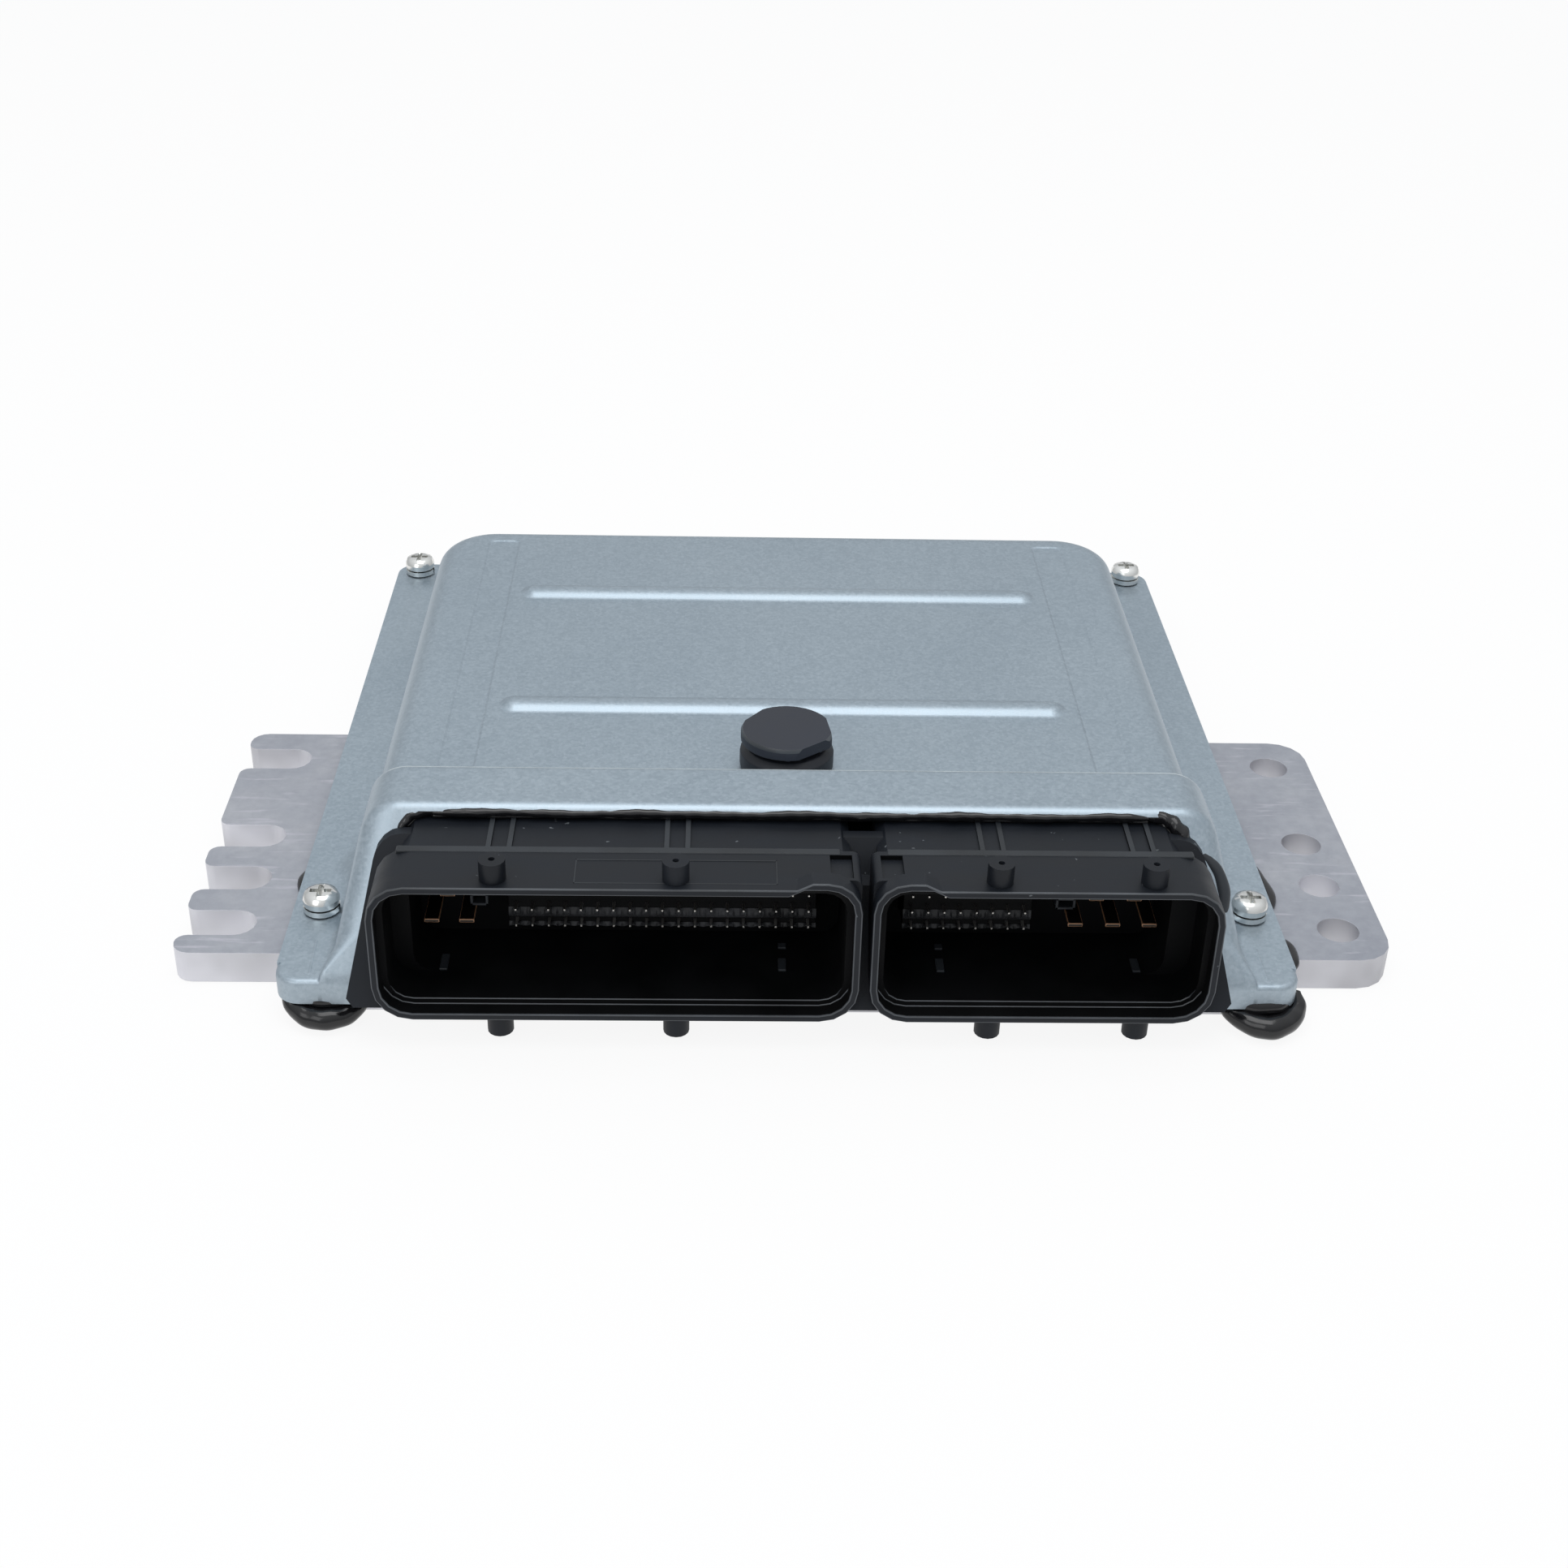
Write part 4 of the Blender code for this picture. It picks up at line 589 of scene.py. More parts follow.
def rounded(corners, steps):
    """A closed outline from corners given as (x, y, radius)."""
    points = []
    following = corners[1:] + corners[:1]
    for index, (x, y, radius) in enumerate(corners):
        points.extend(corner_arc(corners[index - 1][:2], (x, y), following[index][:2], radius,
                                 steps))
    return points


def rounded_run(points, radii, steps):
    """An open run of points with its inner corners rounded."""
    run = [tuple(points[0])]
    for before, corner, after, radius in zip(points, points[1:], points[2:], radii):
        run.extend(corner_arc(before, corner, after, radius, steps))
    run.append(tuple(points[-1]))
    return run


def box_outline(x0, x1, y0, y1, radius, steps):
    """A rectangle with equal rounds."""
    corners = ((x0, y0, radius), (x1, y0, radius), (x1, y1, radius), (x0, y1, radius))
    return rounded(corners, steps)


def closer(run, gap):
    """The run with points added so that none lie further apart than the gap."""
    filled = [run[0]]
    for first, second in zip(run, run[1:]):
        count = max(int(math.dist(first, second) / gap + 0.999), 1)
        for step in range(1, count + 1):
            filled.append(tuple(a + (b - a) * step / count for a, b in zip(first, second)))
    return filled


def eased(value, low, high):
    """0 below low, 1 above high and a soft change between."""
    share = min(max((value - low) / (high - low), 0.0), 1.0)
    return share * share * (3.0 - 2.0 * share)


# ---- the pressed cover, in millimetres

COVER_SHEET = 1.2
FLANGE = 10.1
FLANGE_HALF = 94.7
FLANGE_REAR = 164.0
PLATEAU = 24.7
HOOD = 37.0
HOOD_FRONT = 5.0
HOOD_REAR = 18.9
PLATEAU_FRONT = 31.2
FRONT = -13.5
EDGE_BEND = 1.1
SKIRT_LOW = 5.1
SKIRT_END = -7.5
LIP_HEIGHT = 35.75
LIP_ROUND = 2.6
TOP_BEND = 5.4
BEND_SHARE = 0.87
TOP_FLAT = 0.9
WALL_REAR = 156.6
REAR_ROUND = 15.0
REAR_STEPS = 12
BEADS_AT = (65.0, 118.8)
BEAD_END = 60.3
BEAD_HALF = 3.9
BEAD_FORM = ((0.0, 0.0), (0.45, 0.05), (0.9, 0.24), (1.4, 0.58), (1.9, 0.88), (2.4, 1.1),
             (2.95, 1.22), (3.5, 1.27))
STRIP_X = (62.3, 70.2)
STRIP_Y = (33.6, 147.6)
STRIP_FORM = ((0.0, 0.0), (0.25, -0.07), (0.5, -0.22), (0.75, -0.3))
BREATHER_AT = (0.0, 41.2)
BREATHER_HOLE = 7.0
SCREW_X = 89.2
SCREWS_AT = (9.7, 159.2)
SCREW_HOLE = 2.4
SCORES = (((-88.2, -11.2), (-88.6, -0.5)), ((88.4, -11.0), (88.4, -1.5)))
SCORE_WIDTH = 0.8
SCORE_FORM = ((0.0, 0.0), (0.2, 0.10), (0.35, 0.13))
# Where the painted highlight lies on the bend behind the hood's roof.
RIDGE_Y = (18.4, 20.4)
RIDGE_Z = (35.9, HOOD - 0.02)


def wall_section(height, slope, foot, bend, inner):
    """Half section of the wall as (offset, height): foot round, wall, top bend and a short flat
    that ends at inner."""
    corners = ((foot * 3.0 + 4.0, 0.0), (0.0, 0.0), (-slope * height, height), (inner, height))
    return rounded_run(corners, (foot, bend), 8)[1:]


def hood_base(y):
    """Half width of the wall's foot, wall slope and foot round at a place along the side."""
    hooded = 1.0 - eased(y, 25.0, 36.0)
    nose = 1.0 - eased(y, -13.5, -7.0)
    half = 83.2 + 1.5 * hooded + 1.6 * nose
    slope = 0.14 + 0.10 * hooded
    foot = 2.0 + 4.2 * eased(y, 14.0, 24.0) * (1.0 - eased(y, 28.0, 44.0))
    return half, slope, foot


def opening_edge(z):
    """Half width of the opening in the slanting front at a height."""
    edge = 70.9 + max(36.5 - z, 0.0) * 0.345
    drop = LIP_HEIGHT - z
    if drop < LIP_ROUND:
        rest = LIP_ROUND - max(drop, 0.0)
        edge -= LIP_ROUND - math.sqrt(LIP_ROUND * LIP_ROUND - rest * rest)
    return edge


def side_stations():
    """Stations along one side from the front: place, roof height and the half section there."""
    front_high = FLANGE + (HOOD - FLANGE) * EDGE_BEND / (HOOD_FRONT - FRONT)
    roof = ((FRONT + EDGE_BEND, front_high), (HOOD_FRONT, HOOD), (HOOD_REAR, HOOD),
            (PLATEAU_FRONT, PLATEAU), (52.0, PLATEAU))
    run = closer(rounded_run(roof, (2.6, 3.2, 4.5), 6), 1.6)
    run += [(y, PLATEAU) for y in (62.0, 76.0, 90.0, 104.0, 118.0, 130.0, 141.0)]
    stations = []
    for y, z in run:
        half, slope, foot = hood_base(y)
        height = z - FLANGE
        foot = min(foot, 0.28 * height)
        if y < 4.5:
            inner = opening_edge(z)
            room = half - slope * height - inner - 0.4
            bend = min(7.6, (height - foot * 0.8) * 1.05, room / 0.79)
        else:
            bend = TOP_BEND + 2.2 * eased(z, PLATEAU, HOOD)
            inner = half - slope * height - bend * BEND_SHARE - TOP_FLAT
            if z < HOOD and y < 6.0:
                inner = min(inner, opening_edge(z))
        stations.append((y, z, half, wall_section(height, slope, foot, bend, inner - half)))
    return stations


def ring_of(form, outline, z):
    """Vertices of an outline at a height."""
    return [form.verts.new(at(x, y, z)) for x, y in outline]


def ring_edges(form, ring):
    """Edges along a closed ring of vertices."""
    return [form.edges.get(pair) or form.edges.new(pair) for pair in zip(ring, ring[1:] + ring[:1])]


def bridge(form, first, second, closed=True):
    """Quads between two rows of equal length."""
    count = len(first)
    for index in range(count if closed else count - 1):
        after = (index + 1) % count
        form.faces.new((first[index], first[after], second[after], second[index]))


def pressed(form, outline_of, base, levels):
    """A raised or sunk shape in a flat area. Returns the edges of its foot."""
    rings = [ring_of(form, outline_of(inset), base + height) for inset, height in levels]
    for lower, upper in zip(rings, rings[1:]):
        bridge(form, lower, upper)
    form.faces.new(rings[-1])
    return ring_edges(form, rings[0])


def bead_outline(y):
    """Outlines of a bead with round ends, by their inset."""
    def outline(inset):
        wide = BEAD_HALF - inset
        end = BEAD_END - inset
        return box_outline(-end, end, y - wide, y + wide, wide * 0.97, 8)
    return outline


def strip_outline(side):
    """Outlines of a step strip along one side, by their inset."""
    x0, x1 = sorted(side * x for x in STRIP_X)
    y0, y1 = STRIP_Y
    return lambda inset: box_outline(x0 + inset, x1 - inset, y0 + inset, y1 - inset, 1.4, 3)


def score_outline(start, end):
    """Outlines of a narrow score line, by their inset."""
    start, end = Vector(start), Vector(end)
    along = (end - start).normalized()
    side = Vector((-along.y, along.x))

    def outline(inset):
        wide = side * (SCORE_WIDTH / 2.0 - inset)
        first, last = start + along * inset, end - along * inset
        tip = along * wide.length * 0.8
        return [tuple(p) for p in (first - wide, last - wide, last + tip, last + wide, first + wide,
                                   first - tip)]
    return outline


def hole_edges(form, x, y, radius, z):
    """Edges of a round hole in a flat area."""
    turns = [math.tau * k / 32.0 for k in range(32)]
    outline = [(x + radius * math.cos(turn), y + radius * math.sin(turn)) for turn in turns]
    return ring_edges(form, ring_of(form, outline, z))


def fill_flat(form, edges):
    """Fills a flat area between its outline and the outlines inside it."""
    bmesh.ops.triangle_fill(form, use_beauty=True, edges=list(dict.fromkeys(edges)),
                            normal=(0.0, 0.0, 1.0))


def side_rows(form, stations, side):
    """Rows of the wall's vertices along one side."""
    return [[form.verts.new(at(side * (half + offset), y, FLANGE + height))
             for offset, height in section] for y, _, half, section in stations]


def rear_rows(form):
    """Rows of the wall's vertices round the two rear corners."""
    half, slope, foot = hood_base(150.0)
    height = PLATEAU - FLANGE
    inner = -slope * height - TOP_BEND * BEND_SHARE - TOP_FLAT
    section = wall_section(height, slope, foot, TOP_BEND, inner)
    rows = []
    for side, start in ((-1.0, 180.0), (1.0, 90.0)):
        for step in range(REAR_STEPS + 1):
            turn = math.radians(start - 90.0 * step / REAR_STEPS)
            out_x, out_y = math.cos(turn), math.sin(turn)
            x = side * (half - REAR_ROUND) + REAR_ROUND * out_x
            y = WALL_REAR - REAR_ROUND + REAR_ROUND * out_y
            rows.append([form.verts.new(at(x + out_x * offset, y + out_y * offset, FLANGE + rise))
                         for offset, rise in section])
    return rows


def close_hood(form, stations, left, right):
    """Closes the hood's roof from side to side. Returns the station where the plateau starts."""
    flat_from = next(index for index, (y, z, _, _) in enumerate(stations)
                     if y > 31.0 and z <= PLATEAU + 1e-6)
    for index in range(flat_from):
        if stations[index][1] >= LIP_HEIGHT - 0.35 or stations[index][0] > 6.0:
            form.faces.new((left[index][-1], left[index + 1][-1], right[index + 1][-1],
                            right[index][-1]))
    return flat_from


def close_plateau(form, rows):
    """Closes the plateau inside the wall, with its beads, step strips and breather hole."""
    edges = ring_edges(form, [row[-1] for row in rows])
    for y in BEADS_AT:
        edges += pressed(form, bead_outline(y), PLATEAU, BEAD_FORM)
    for side in (-1.0, 1.0):
        edges += pressed(form, strip_outline(side), PLATEAU, STRIP_FORM)
    edges += hole_edges(form, *BREATHER_AT, BREATHER_HOLE, PLATEAU)
    fill_flat(form, edges)


def roll_front(form, row, normals):
    """The rolled front edge and the skirt under it, for vertices and their outward directions."""
    tops = [v.co / MM for v in row]
    for degrees in (22.5, 45.0, 67.5, 90.0, None):
        turn = math.radians(90.0 if degrees is None else degrees)
        out = EDGE_BEND * math.sin(turn)
        below = []
        for top, (out_x, out_y) in zip(tops, normals):
            rise = (top.z - FLANGE) * (1.0 - math.sin(turn))
            z = SKIRT_LOW
            if degrees is not None:
                z = FLANGE - EDGE_BEND + EDGE_BEND * math.cos(turn) + rise
            below.append(form.verts.new(Vector((top.x + out_x * out, top.y + out_y * out, z)) * MM))
        bridge(form, row, below, closed=False)
        row = below


def close_flange(form, left, right, strip):
    """Closes the flange outside the wall, with its front roll, screw holes and score lines."""
    front = FRONT + EDGE_BEND
    half = FLANGE_HALF - EDGE_BEND
    side_run = corner_arc((0.0, front), (half, front), (half, 0.0), 3.5, 6) + [(half, SKIRT_END)]
    turns = [math.radians(15.0 * k) for k in range(7)]
    normals = [(0.0, -1.0), *((math.sin(turn), -math.cos(turn)) for turn in turns), (1.0, 0.0)]
    outer = []
    for side, foot in ((-1.0, left[0]), (1.0, right[0])):
        row = [form.verts.new(at(side * x, y, FLANGE)) for x, y in side_run]
        outer.append(row)
        roll_front(form, [foot[0]] + row, [(side * x, y) for x, y in normals])
        roll_front(form, list(foot), [(0.0, -1.0)] * len(foot))
    rear_run = [(-FLANGE_HALF, SKIRT_END)]
    rear_run += corner_arc((-FLANGE_HALF, 0.0), (-FLANGE_HALF, FLANGE_REAR), (0.0, FLANGE_REAR),
                           5.0, 6)
    rim = ring_of(form, rear_run, FLANGE)
    rim += ring_of(form, [(-x, y) for x, y in reversed(rear_run)], FLANGE)
    inner = [row[0] for row in reversed(strip)]
    edges = ring_edges(form, inner[-1:] + outer[0] + rim + outer[1][::-1] + inner[:-1])
    for side in (-1.0, 1.0):
        for y in SCREWS_AT:
            edges += hole_edges(form, side * SCREW_X, y, SCREW_HOLE, FLANGE)
    for start, end in SCORES:
        edges += pressed(form, score_outline(start, end), FLANGE, SCORE_FORM)
    fill_flat(form, edges)


def on_ridge(face):
    """Whether a face lies on the bend behind the hood's roof, which gets a painted highlight."""
    y, z = face.center.y / MM - DATUM, face.center.z / MM
    return RIDGE_Y[0] < y < RIDGE_Y[1] and RIDGE_Z[0] < z < RIDGE_Z[1] and face.normal.z > 0.0


def make_cover():
    """The pressed sheet: wall, hood, plateau and flange as one surface, then its thickness."""
    form = bmesh.new()
    stations = side_stations()
    left = side_rows(form, stations, -1.0)
    right = side_rows(form, stations, 1.0)
    back = rear_rows(form)
    strip = left + back + right[::-1]
    for first, second in zip(strip, strip[1:]):
        bridge(form, first, second, closed=False)
    flat_from = close_hood(form, stations, left, right)
    close_plateau(form, left[flat_from:] + back + right[flat_from:][::-1])
    close_flange(form, left, right, strip)
    bmesh.ops.remove_doubles(form, verts=form.verts, dist=MERGE_DISTANCE)
    bmesh.ops.recalc_face_normals(form, faces=form.faces)
    if sum(face.normal.z * face.calc_area() for face in form.faces) < 0.0:
        bmesh.ops.reverse_faces(form, faces=form.faces)
    sheet = object_of("cover_sheet", form)
    only(sheet)
    wall = sheet.modifiers.new("wall", "SOLIDIFY")
    wall.thickness = COVER_SHEET * MM
    wall.offset = -1.0
    wall.use_even_offset = False
    bpy.ops.object.modifier_apply(modifier="wall")
    soften_edges(sheet, 0.28, 60.0)
    smooth(sheet, 50.0)
    paint(sheet, ZINC_SHEET)
    # Painted highlight: the faces on the bend behind the hood's roof get the lighter zinc.
    paint_faces(sheet, ZINC_PAINTED_HIGHLIGHT, on_ridge)
    finish_piece(sheet, "cover")


# ---- header, in millimetres

LEFT_BAY = (-75.5, 12.0)
RIGHT_BAY = (13.9, 76.7)
MOUTH = -19.7
MOUTH_STEP = 3.2
SHROUD_BACK = -6.6
BAY_FLOOR = 12.5
SHROUD_EDGE = 34.5
SHARP_TURN = 0.6
ROW_HEIGHTS = (16.2, 19.7, 23.2, 26.7)
PITCH = 3.0
PIN_HALF = 0.32
PIN_TIP = 0.62
CARRIERS = {"left": (-50.8, 19), "right": (22.4, 8)}
SADDLES = ((ROW_HEIGHTS[0] - 1.5, ROW_HEIGHTS[0] - 0.6),
           (ROW_HEIGHTS[0] + 0.5, ROW_HEIGHTS[1] - 0.9))
BLADE_HALF = 1.4
BLADE_FRONT = -5.7
BLADE_REAR = 12.0
BLADE_THICK_HALF = 0.4
BLADE_ROUND = 0.17
# Black, then the painted highlight, the painted shade and the painted light surfaces.
HEADER_SURFACES = (BLACK, EDGE_PAINTED_HIGHLIGHT, BAY_PAINTED_SHADE, EDGE)
HEADER_PAINTED_HIGHLIGHT, HEADER_PAINTED_SHADE, HEADER_PAINTED_LIGHT = 1, 2, 3


def make_header():
    """The moulded header with rounded mouth lips, a painted highlight on the lip rounds, painted
    light on the shroud backs and block tops, and painted shade in the bays.
    """
    header = linked("header_moulding", merged_mesh("connector_housing"))
    for made in HEADER_SURFACES:
        header.data.materials.append(made)
    form = form_of(header.data)

    def on_level(edge, y):
        return all(abs(v.co.y / MM - DATUM - y) < 0.02 for v in edge.verts)

    def heights(edge):
        return sorted(v.co.z / MM for v in edge.verts)

    def soften_some(test, width, segments, slot):
        chosen = [edge for edge in form.edges
                  if edge.calc_face_angle(0.0) > SHARP_TURN and test(edge)]
        bmesh.ops.bevel(form, geom=chosen, offset=width * MM, segments=segments, profile=0.5,
                        affect="EDGES", material=slot, clamp_overlap=True)

    # Painted highlight: the rounds on the mouth lip and the mouth step get the lighter surface.
    soften_some(lambda edge: on_level(edge, MOUTH), 0.45, 2, HEADER_PAINTED_HIGHLIGHT)
    soften_some(lambda edge: on_level(edge, MOUTH + MOUTH_STEP) and heights(edge)[1] < BAY_FLOOR,
                0.35, 1, HEADER_PAINTED_HIGHLIGHT)
    # Painted highlight: the wide round on the shroud's back edge gets the lighter surface.
    soften_some(lambda edge: on_level(edge, SHROUD_BACK) and heights(edge)[0] > SHROUD_EDGE,
                0.9, 2, HEADER_PAINTED_LIGHT)
    write_back(form, header.data)
    soften_edges(header, 0.22)
    smooth(header)
    # Painted shade: the faces inside the bays that face inwards get the near-black surface.
    for face in header.data.polygons:
        x, y, z = face.center / MM
        y -= DATUM
        for x0, x1 in (LEFT_BAY, RIGHT_BAY):
            inwards = face.normal.x * ((x0 + x1) / 2.0 - x) + face.normal.z * (20.0 - z)
            inside = x0 + 1.1 < x < x1 - 1.1 and MOUTH + 0.6 < y < 6.0 and 6.0 < z < 35.6
            facing = inwards > 0.0 or abs(face.normal.y) > 0.9
            if inside and facing and face.material_index != HEADER_PAINTED_HIGHLIGHT:
                face.material_index = HEADER_PAINTED_SHADE
        # Painted light: the block tops under the hood get the lighter surface against the hood's
        # shadow.
        if -6.0 < y < 7.0 and z > 34.35 and face.normal.z > 0.7:
            face.material_index = HEADER_PAINTED_LIGHT
    finish_piece(header, "connector_housing")


def make_pins(first, columns):
    """The square pins of one bay, with narrowed tips."""
    height = ROW_HEIGHTS[0]
    pin = cube("pin", ((first - PIN_HALF, first + PIN_HALF), (-3.9, -1.0),
                       (height - PIN_HALF, height + PIN_HALF)), TIN)
    form = form_of(pin.data)
    front = min(v.co.y for v in form.verts)
    for vert in form.verts:
        if vert.co.y < front + 1e-6:
            vert.co.x = first * MM + (vert.co.x - first * MM) * PIN_TIP
            vert.co.z = height * MM + (vert.co.z - height * MM) * PIN_TIP
    write_back(form, pin.data)
    soften_edges(pin, 0.06, 30.0, 1)
    return repeated("pins", pin, [(column * PITCH, 0.0, row - height)
                                  for column in range(columns) for row in ROW_HEIGHTS])


def make_saddle(first, columns, low, high):
    """A ribbed strip of insulator between two rows of pins."""
    x0 = first - PITCH / 2.0
    x1 = x0 + columns * PITCH
    only_none()
    bpy.ops.mesh.primitive_grid_add(x_subdivisions=columns * 12, y_subdivisions=6, size=1.0)
    strip = bpy.context.object
    for vert in strip.data.vertices:
        across = vert.co.x + 0.5
        up = vert.co.y + 0.5
        x = x0 + across * (x1 - x0)
        wave = math.cos(math.tau * (x - first) / PITCH)
        ripple = 0.12 * math.sin(x * 7.3) + 0.08 * math.sin(x * 12.1 + 1.0)
        rise = math.sin(math.pi * up)
        z = low + up * (high - low) + (0.35 * wave + 0.5 * ripple) * rise
        vert.co = at(x, -1.5 - rise * (0.55 + 0.25 * wave + ripple), z)
    strip.data.materials.append(SADDLE)
    strip.data.flip_normals()
    return strip


def make_contacts(side):
    """Insulator, ribbed saddles between the rows and the square pins of one bay."""
    first, columns = CARRIERS[side]
    x0 = first - PITCH / 2.0
    spans = ((x0, x0 + columns * PITCH), (-1.4, 15.4), (14.5, 28.4))
    # The insulator at the back of the bay takes the near-black painted shade.
    pieces = [cube("insulator", spans, BAY_PAINTED_SHADE, 0.2), make_pins(first, columns)]
    pieces += [make_saddle(first, columns, low, high) for low, high in SADDLES]
    contacts = joined("contacts_" + side, pieces)
    smooth(contacts, 30.0)
    finish_piece(contacts, "contact_carrier_" + side)


def make_blades():
    """Flat blades with bright copper edges."""
    for name in sorted(n for n in frame["nodes"] if n.startswith("power_blade")):
        low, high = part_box(name)
        x = (low.x + high.x) / 2.0 / MM
        z = high.z / MM - BLADE_THICK_HALF
        spans = ((x - BLADE_HALF, x + BLADE_HALF), (BLADE_FRONT, BLADE_REAR),
                 (z - BLADE_THICK_HALF, z + BLADE_THICK_HALF))
        blade = cube(name + "_finish", spans, DULL_TIN)
        blade.data.materials.append(COPPER)
        form = form_of(blade.data)
        bmesh.ops.bevel(form, geom=list(form.edges), offset=BLADE_ROUND * MM, segments=2,
                        profile=0.5, affect="EDGES", material=1, clamp_overlap=True)
        write_back(form, blade.data)
        smooth(blade, 50.0)
        finish_piece(blade, name)


# ---- sealant, as points of (x, y, z, radius) in millimetres

CURVE_STEPS = 8
LINE_PLACES = range(-66, 68, 4)
LINE_ENDS = {0: 0.45, len(LINE_PLACES) - 1: 0.5}
FOLDS = (
    ("sealant_fold_left", 0.1,
     ((-62.0, 5.9, 35.1, 0.4), (-66.0, 5.4, 35.2, 0.75), (-69.4, 4.7, 35.0, 0.95),
      (-71.2, 3.4, 33.8, 0.9), (-71.9, 1.9, 31.8, 0.7), (-72.2, 0.6, 29.8, 0.35))),
    ("sealant_fold_left_inner", 0.1,
     ((-60.0, 6.6, 34.6, 0.3), (-65.0, 6.0, 34.7, 0.6), (-68.4, 5.4, 34.3, 0.7),
      (-70.4, 4.2, 33.0, 0.6), (-71.0, 3.2, 31.4, 0.3))),
    ("sealant_fold_right", 0.12,
     ((60.0, 5.9, 35.1, 0.4), (66.0, 5.3, 35.3, 0.9), (69.8, 4.6, 35.2, 1.4),
      (71.8, 3.2, 33.6, 1.5), (73.2, 1.6, 31.2, 1.2), (74.6, 0.2, 28.6, 0.5))),
    ("sealant_fold_right_inner", 0.12,
     ((64.0, 6.4, 34.6, 0.4), (67.6, 5.6, 34.6, 0.8), (69.6, 4.6, 33.4, 1.0),
      (71.2, 3.2, 31.2, 0.8), (72.4, 1.8, 29.0, 0.4))),
)
LUMPS = {
    "left": (
        ((-93.0, -9.4, 5.6, 1.0), (-91.6, -11.6, 3.6, 1.8), (-88.8, -13.6, 2.5, 2.1),
         (-85.2, -14.4, 2.35, 2.1), (-81.8, -13.0, 2.4, 2.0), (-79.4, -10.2, 3.4, 1.7),
         (-78.2, -8.2, 5.0, 1.0)),
        ((-91.0, -9.6, 5.4, 1.2), (-87.0, -11.6, 5.0, 2.0), (-83.0, -11.2, 5.0, 2.0),
         (-80.0, -8.8, 5.6, 1.2)),
    ),
    "right": (
        ((80.8, -9.4, 5.0, 1.0), (82.6, -12.0, 3.2, 1.8), (86.0, -14.6, 2.5, 2.2),
         (89.6, -15.6, 2.5, 2.3), (93.0, -13.6, 2.7, 2.2), (95.0, -10.8, 3.4, 1.8),
         (95.2, -8.0, 5.0, 1.0)),
        ((82.0, -9.8, 5.4, 1.2), (86.0, -12.0, 5.0, 2.0), (90.6, -11.8, 5.0, 2.1),
         (93.6, -9.0, 5.6, 1.2)),
    ),
}
BULGE = ((74.0, 2.2, 30.6, 0.5), (76.6, 1.0, 29.2, 1.0), (78.9, -0.2, 26.9, 1.3),
         (80.0, -2.0, 23.9, 1.5), (79.9, -3.6, 21.2, 1.4), (79.2, -5.0, 18.8, 1.1),
         (78.2, -7.0, 15.5, 0.6))
SLIVERS = (
    ("left", ((-94.6, 29.5, 6.9, 0.3), (-95.6, 24.0, 6.9, 1.1), (-94.6, 17.5, 6.9, 0.3))),
    ("right", ((94.6, 36.5, 7.0, 0.3), (95.6, 28.2, 7.1, 1.0), (96.2, 20.5, 7.2, 1.3),
               (94.9, 14.8, 7.0, 0.5))),
    ("right_front", ((94.6, 7.2, 7.0, 0.4), (96.0, 2.8, 7.1, 1.3), (95.9, -1.2, 7.0, 1.3),
                     (94.6, -4.2, 6.6, 0.5))),
)


def curve_point(points, t):
    """Place and direction on a smooth curve between the middle two of four points."""
    p0, p1, p2, p3 = points
    line = p2 - p0
    bow = 2.0 * p0 - 5.0 * p1 + 4.0 * p2 - p3
    twist = 3.0 * p1 - p0 - 3.0 * p2 + p3
    place = 0.5 * ((2.0 * p1) + line * t + bow * t * t + twist * t * t * t)
    along = 0.5 * (line + bow * 2.0 * t + twist * 3.0 * t * t)
    return place, along.normalized()


def curve_stops(points):
    """Place, direction and radius at every step of a smooth curve through points."""
    last = len(points) - 1
    stops = []
    for span in range(last):
        near = [Vector(points[min(max(span + k, 0), last)][:3]) for k in (-1, 0, 1, 2)]
        start, end = points[span][3], points[span + 1][3]
        for step in range(CURVE_STEPS + (1 if span == last - 1 else 0)):
            t = step / CURVE_STEPS
            place, along = curve_point(near, t)
            stops.append((place, along, start + (end - start) * (t * t * (3.0 - 2.0 * t))))
    return stops


def swept(name, points, sides=12, wobble=0.0, made=SEALANT):
    """A soft bead along a smooth curve through points of (x, y, z, radius)."""
    stops = curve_stops(points)
    form = bmesh.new()
    rings = []
    for index, (place, along, radius) in enumerate(stops):
        side = along.cross(Vector((0.0, 0.0, 1.0)))
        if side.length <= 0.05:
            side = along.cross(Vector((0.0, 1.0, 0.0)))
        side = side.normalized()
        up = side.cross(along).normalized()
        ring = []
        for k in range(sides):
            turn = math.tau * k / sides
            here = radius * (1.0 + wobble * math.sin(index * 0.9 + 2.0 * turn)
                             + wobble * 0.6 * math.sin(index * 0.37 - turn))
            spot = place + side * (math.cos(turn) * here) + up * (math.sin(turn) * here)
            ring.append(form.verts.new(at(*spot)))
        rings.append(ring)
    for first, second in zip(rings, rings[1:]):
        bridge(form, first, second)
    for ring, (place, along, radius), sign in ((rings[0], stops[0], -1.0),
                                               (rings[-1], stops[-1], 1.0)):
        end = form.verts.new(at(*(place + along * (sign * radius * 0.6))))
        for k in range(sides):
            form.faces.new((ring[k], ring[(k + 1) % sides], end))
    bmesh.ops.recalc_face_normals(form, faces=form.faces)
    item = object_of(name, form)
    item.data.materials.append(made)
    only(item)
    bpy.ops.object.shade_smooth()
    trim_piece(item)
    return item


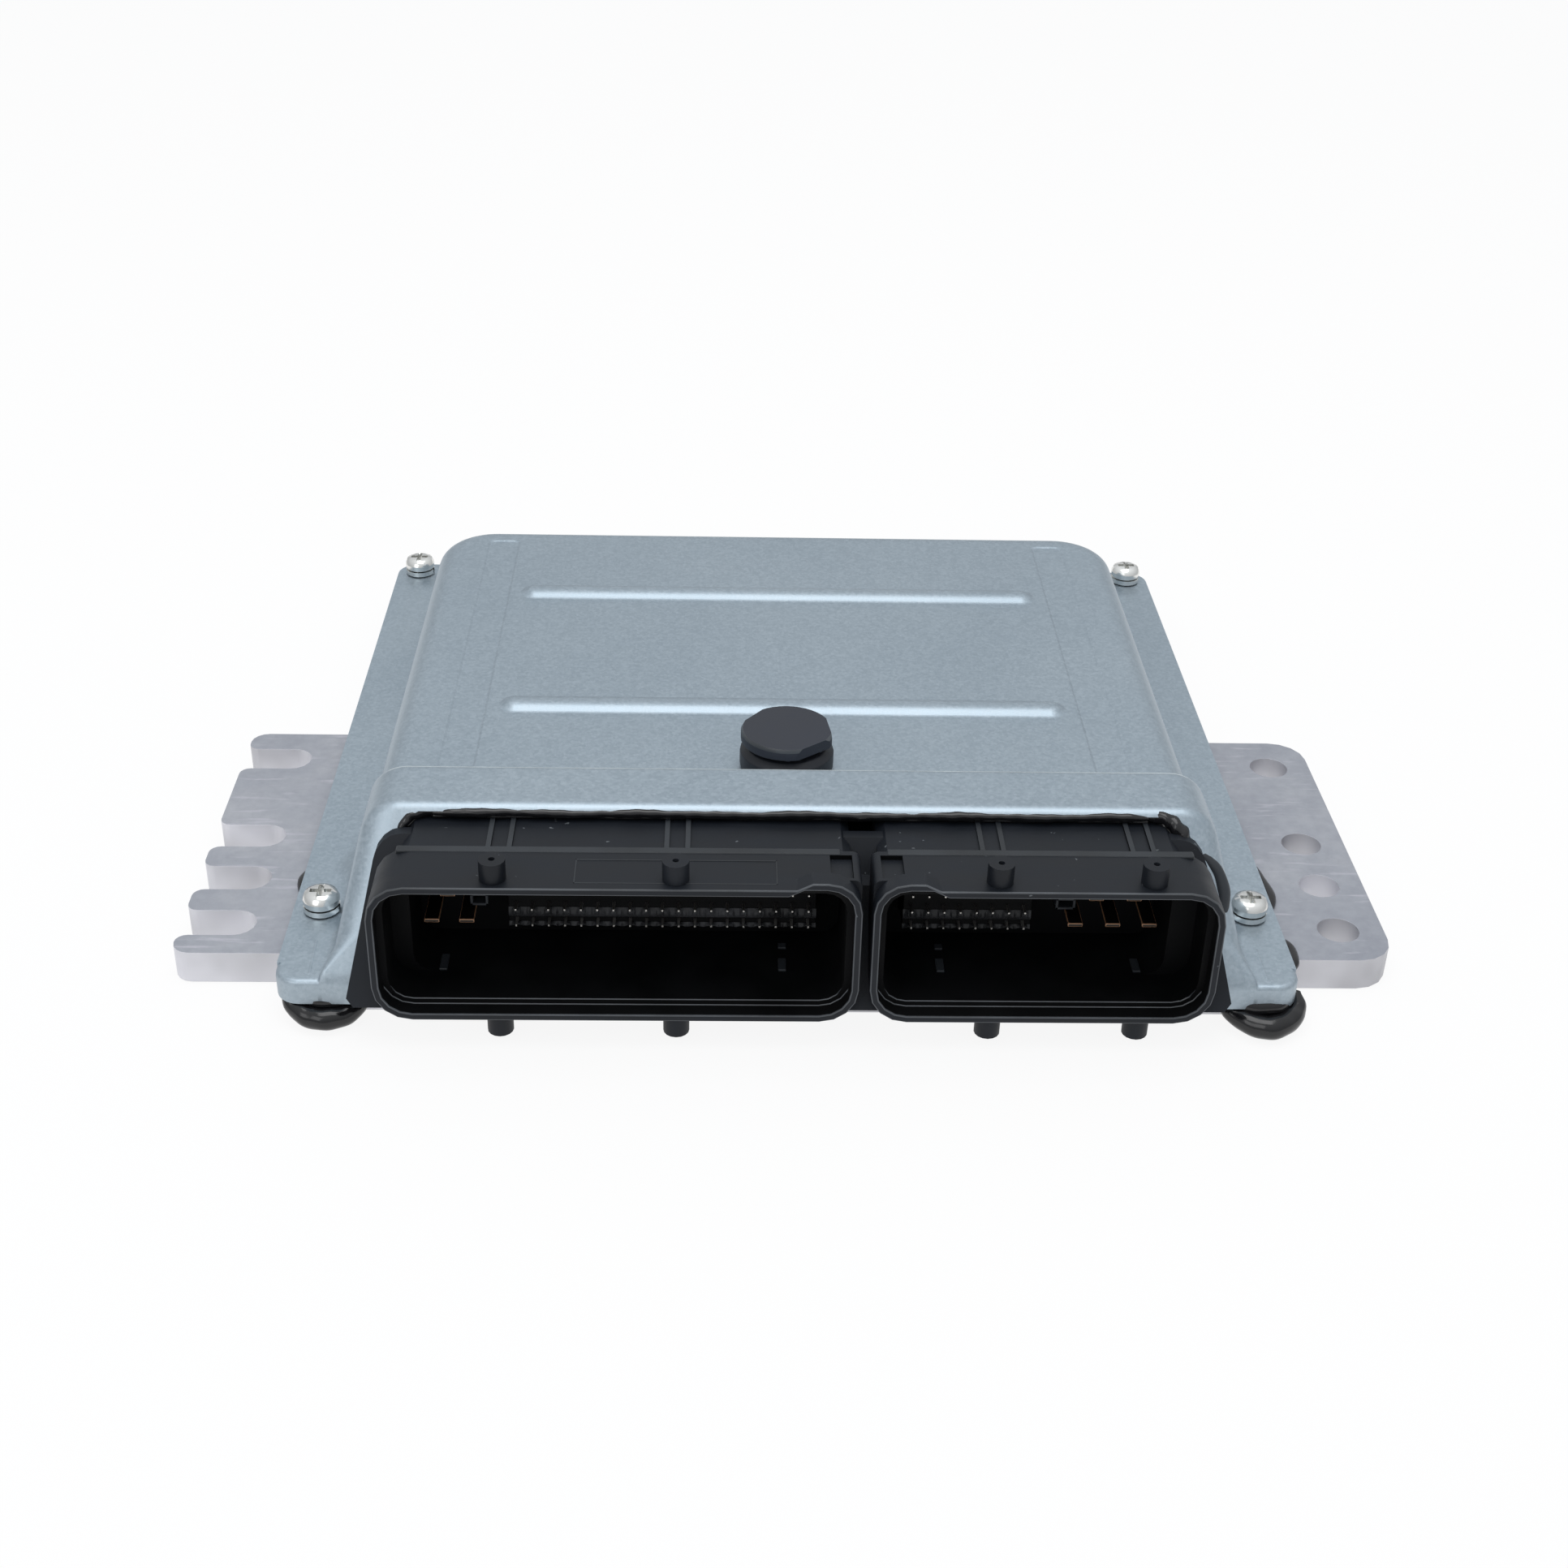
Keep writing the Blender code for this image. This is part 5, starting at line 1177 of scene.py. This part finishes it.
def make_sealant():
    """Glossy black sealant along the hood's edge, in its corners, under the front corners and
    beside the flanges, and the dark bulge along the opening's right edge."""
    swept("sealant_upper_line",
          [(x, 4.6 + 0.1 * math.sin(x * 0.35), 35.45 + 0.1 * math.sin(x * 0.22 + 1.0),
            LINE_ENDS.get(k, 0.82 + 0.1 * math.sin((k - 1) * 1.7)))
           for k, x in enumerate(LINE_PLACES)], 10, 0.05)
    swept("sealant_lower_line",
          [(x, 5.0 + 0.1 * math.sin(x * 0.27), 34.45, 0.42 + 0.08 * math.sin(k * 2.3 + 1.0))
           for k, x in enumerate(LINE_PLACES)], 10, 0.06)
    for name, wobble, points in FOLDS:
        swept(name, points, 12, wobble)
    for side, rolls in LUMPS.items():
        lump = joined("sealant_lump_" + side, [swept("roll", points, 20, 0.02) for points in rolls])
        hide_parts("sealant_corner_" + side)
    swept("seal_bulge_right", BULGE, 14, made=EDGE)
    for side, points in SLIVERS:
        swept("sealant_sliver_" + side, points)


# ---- marks and keys, in millimetres

FIELD_X = (-38.8, -3.2)
FIELD_Y = (-17.6, -10.2)
LINE_HALF = 0.13
# Lighter bands that make a painted highlight along the shrouds' back edges.
BACK_HIGHLIGHT_BANDS = ((-71.2, 8.4), (16.8, 72.4))
KEYS = ((-64.2, -8.0, -3.2), (-1.5, -7.7, -3.9), (-1.4, -0.6, 1.0), (28.0, -7.7, -3.7),
        (28.2, -0.6, 1.0), (64.8, -7.4, -3.3))
KEY_BOXES = ((-59.2, -55.9, 19.6, 22.2), (49.2, 52.9, 19.6, 22.1))
KEY_WALL = 0.5


def make_field():
    """The bare raised outline on the left bay's top, and lighter bands along the shrouds' backs as
    a painted highlight.
    """
    (x0, x1), (y0, y1) = FIELD_X, FIELD_Y
    bars = []
    for span_x, span_y in (((x0, x1), (y0, y0)), ((x1, x1), (y0, y1)), ((x0, x1), (y1, y1)),
                           ((x0, x0), (y0, y1))):
        spans = [(low - LINE_HALF, high + LINE_HALF) for low, high in (span_x, span_y)]
        bars.append(cube("bar", (*spans, (34.9, 35.05)), EDGE, 0.04, 1))
    # Painted highlight bands along the shrouds' backs.
    for span_x in BACK_HIGHLIGHT_BANDS:
        bars.append(cube("bar", (span_x, (-7.9, -6.0), (34.2, 35.12)), EDGE, 0.3, 3))
    trim_piece(joined("field_edge_and_highlight_bands", bars))


def make_keys():
    """The small keys and key boxes inside the bays."""
    keys = [cube("key", ((x - 0.75, x + 0.75), (y0, y1), (8.6, 9.25)), EDGE, 0.12, 1)
            for x, y0, y1 in KEYS]
    for x0, x1, z0, z1 in KEY_BOXES:
        for span_x, span_z in (((x0, x1), (z0, z0 + KEY_WALL)), ((x0, x1), (z1 - KEY_WALL, z1)),
                               ((x0, x0 + KEY_WALL), (z0, z1)), ((x1 - KEY_WALL, x1), (z0, z1))):
            keys.append(cube("key", (span_x, (-2.4, 5.4), span_z), EDGE, 0.08, 1))
    trim_piece(joined("bay_keys", keys))


# ---- casting, breather and screws

BOSS_X = 89.0
BOSS_Y = 158.8
BOSS_RADIUS = 3.9
BOSS_Z = (1.3, 8.5)
CORNERS = ("front_left", "front_right", "rear_left", "rear_right")


def make_casting():
    """The base casting with painted light on its sides, and bosses that close its rear screw holes.
    """
    casting = dressed("base_casting", 0.45)
    pieces = [casting]
    for side in (-1.0, 1.0):
        only_none()
        bpy.ops.mesh.primitive_cylinder_add(
            vertices=32, radius=BOSS_RADIUS * MM, depth=(BOSS_Z[1] - BOSS_Z[0]) * MM,
            location=at(side * BOSS_X, BOSS_Y, sum(BOSS_Z) / 2.0))
        bpy.ops.object.transform_apply(location=True, rotation=True, scale=True)
        boss = bpy.context.object
        boss.data.materials.append(CAST)
        soften_edges(boss, 0.5, 60.0)
        smooth(boss)
        pieces.append(boss)
    joined(casting.name, pieces)
    # Painted light: the casting's side faces get the lighter copy of the metal.
    paint_faces(casting, CAST_PAINTED_LIGHT_SIDE,
                lambda face: abs(face.normal.z) < 0.8 and face.center.z > 0.3 * MM)


def make_breather():
    """The breather's body and its cap with a painted highlight on its rim."""
    cap = dressed("breather_cap", 0.3)
    # Painted highlight on the cap's upper rim.
    paint_faces(cap, EDGE_PAINTED_HIGHLIGHT, lambda face: face.center.z > 32.6 * MM and 0.15 < face.normal.z < 0.95)
    paint(dressed("breather_body", 0.25), BREATHER_BASE)


set_camera()
set_world()
set_floor()
for name, item in frame["nodes"].items():
    paint(item, surface_of(name))
make_cover()
make_casting()
make_header()
make_contacts("left")
make_contacts("right")
make_blades()
make_sealant()
make_field()
make_keys()
make_breather()
for corner in CORNERS:
    dressed("cover_screw_" + corner)
    dressed("spring_washer_" + corner)

soft_light("overhead", (0.0, -0.10, 0.80), 0.55, 2.25)
soft_light("front", (-0.45, -0.70, 0.55), 0.5, 1.1)

bpy.context.scene.view_settings.view_transform = "Standard"
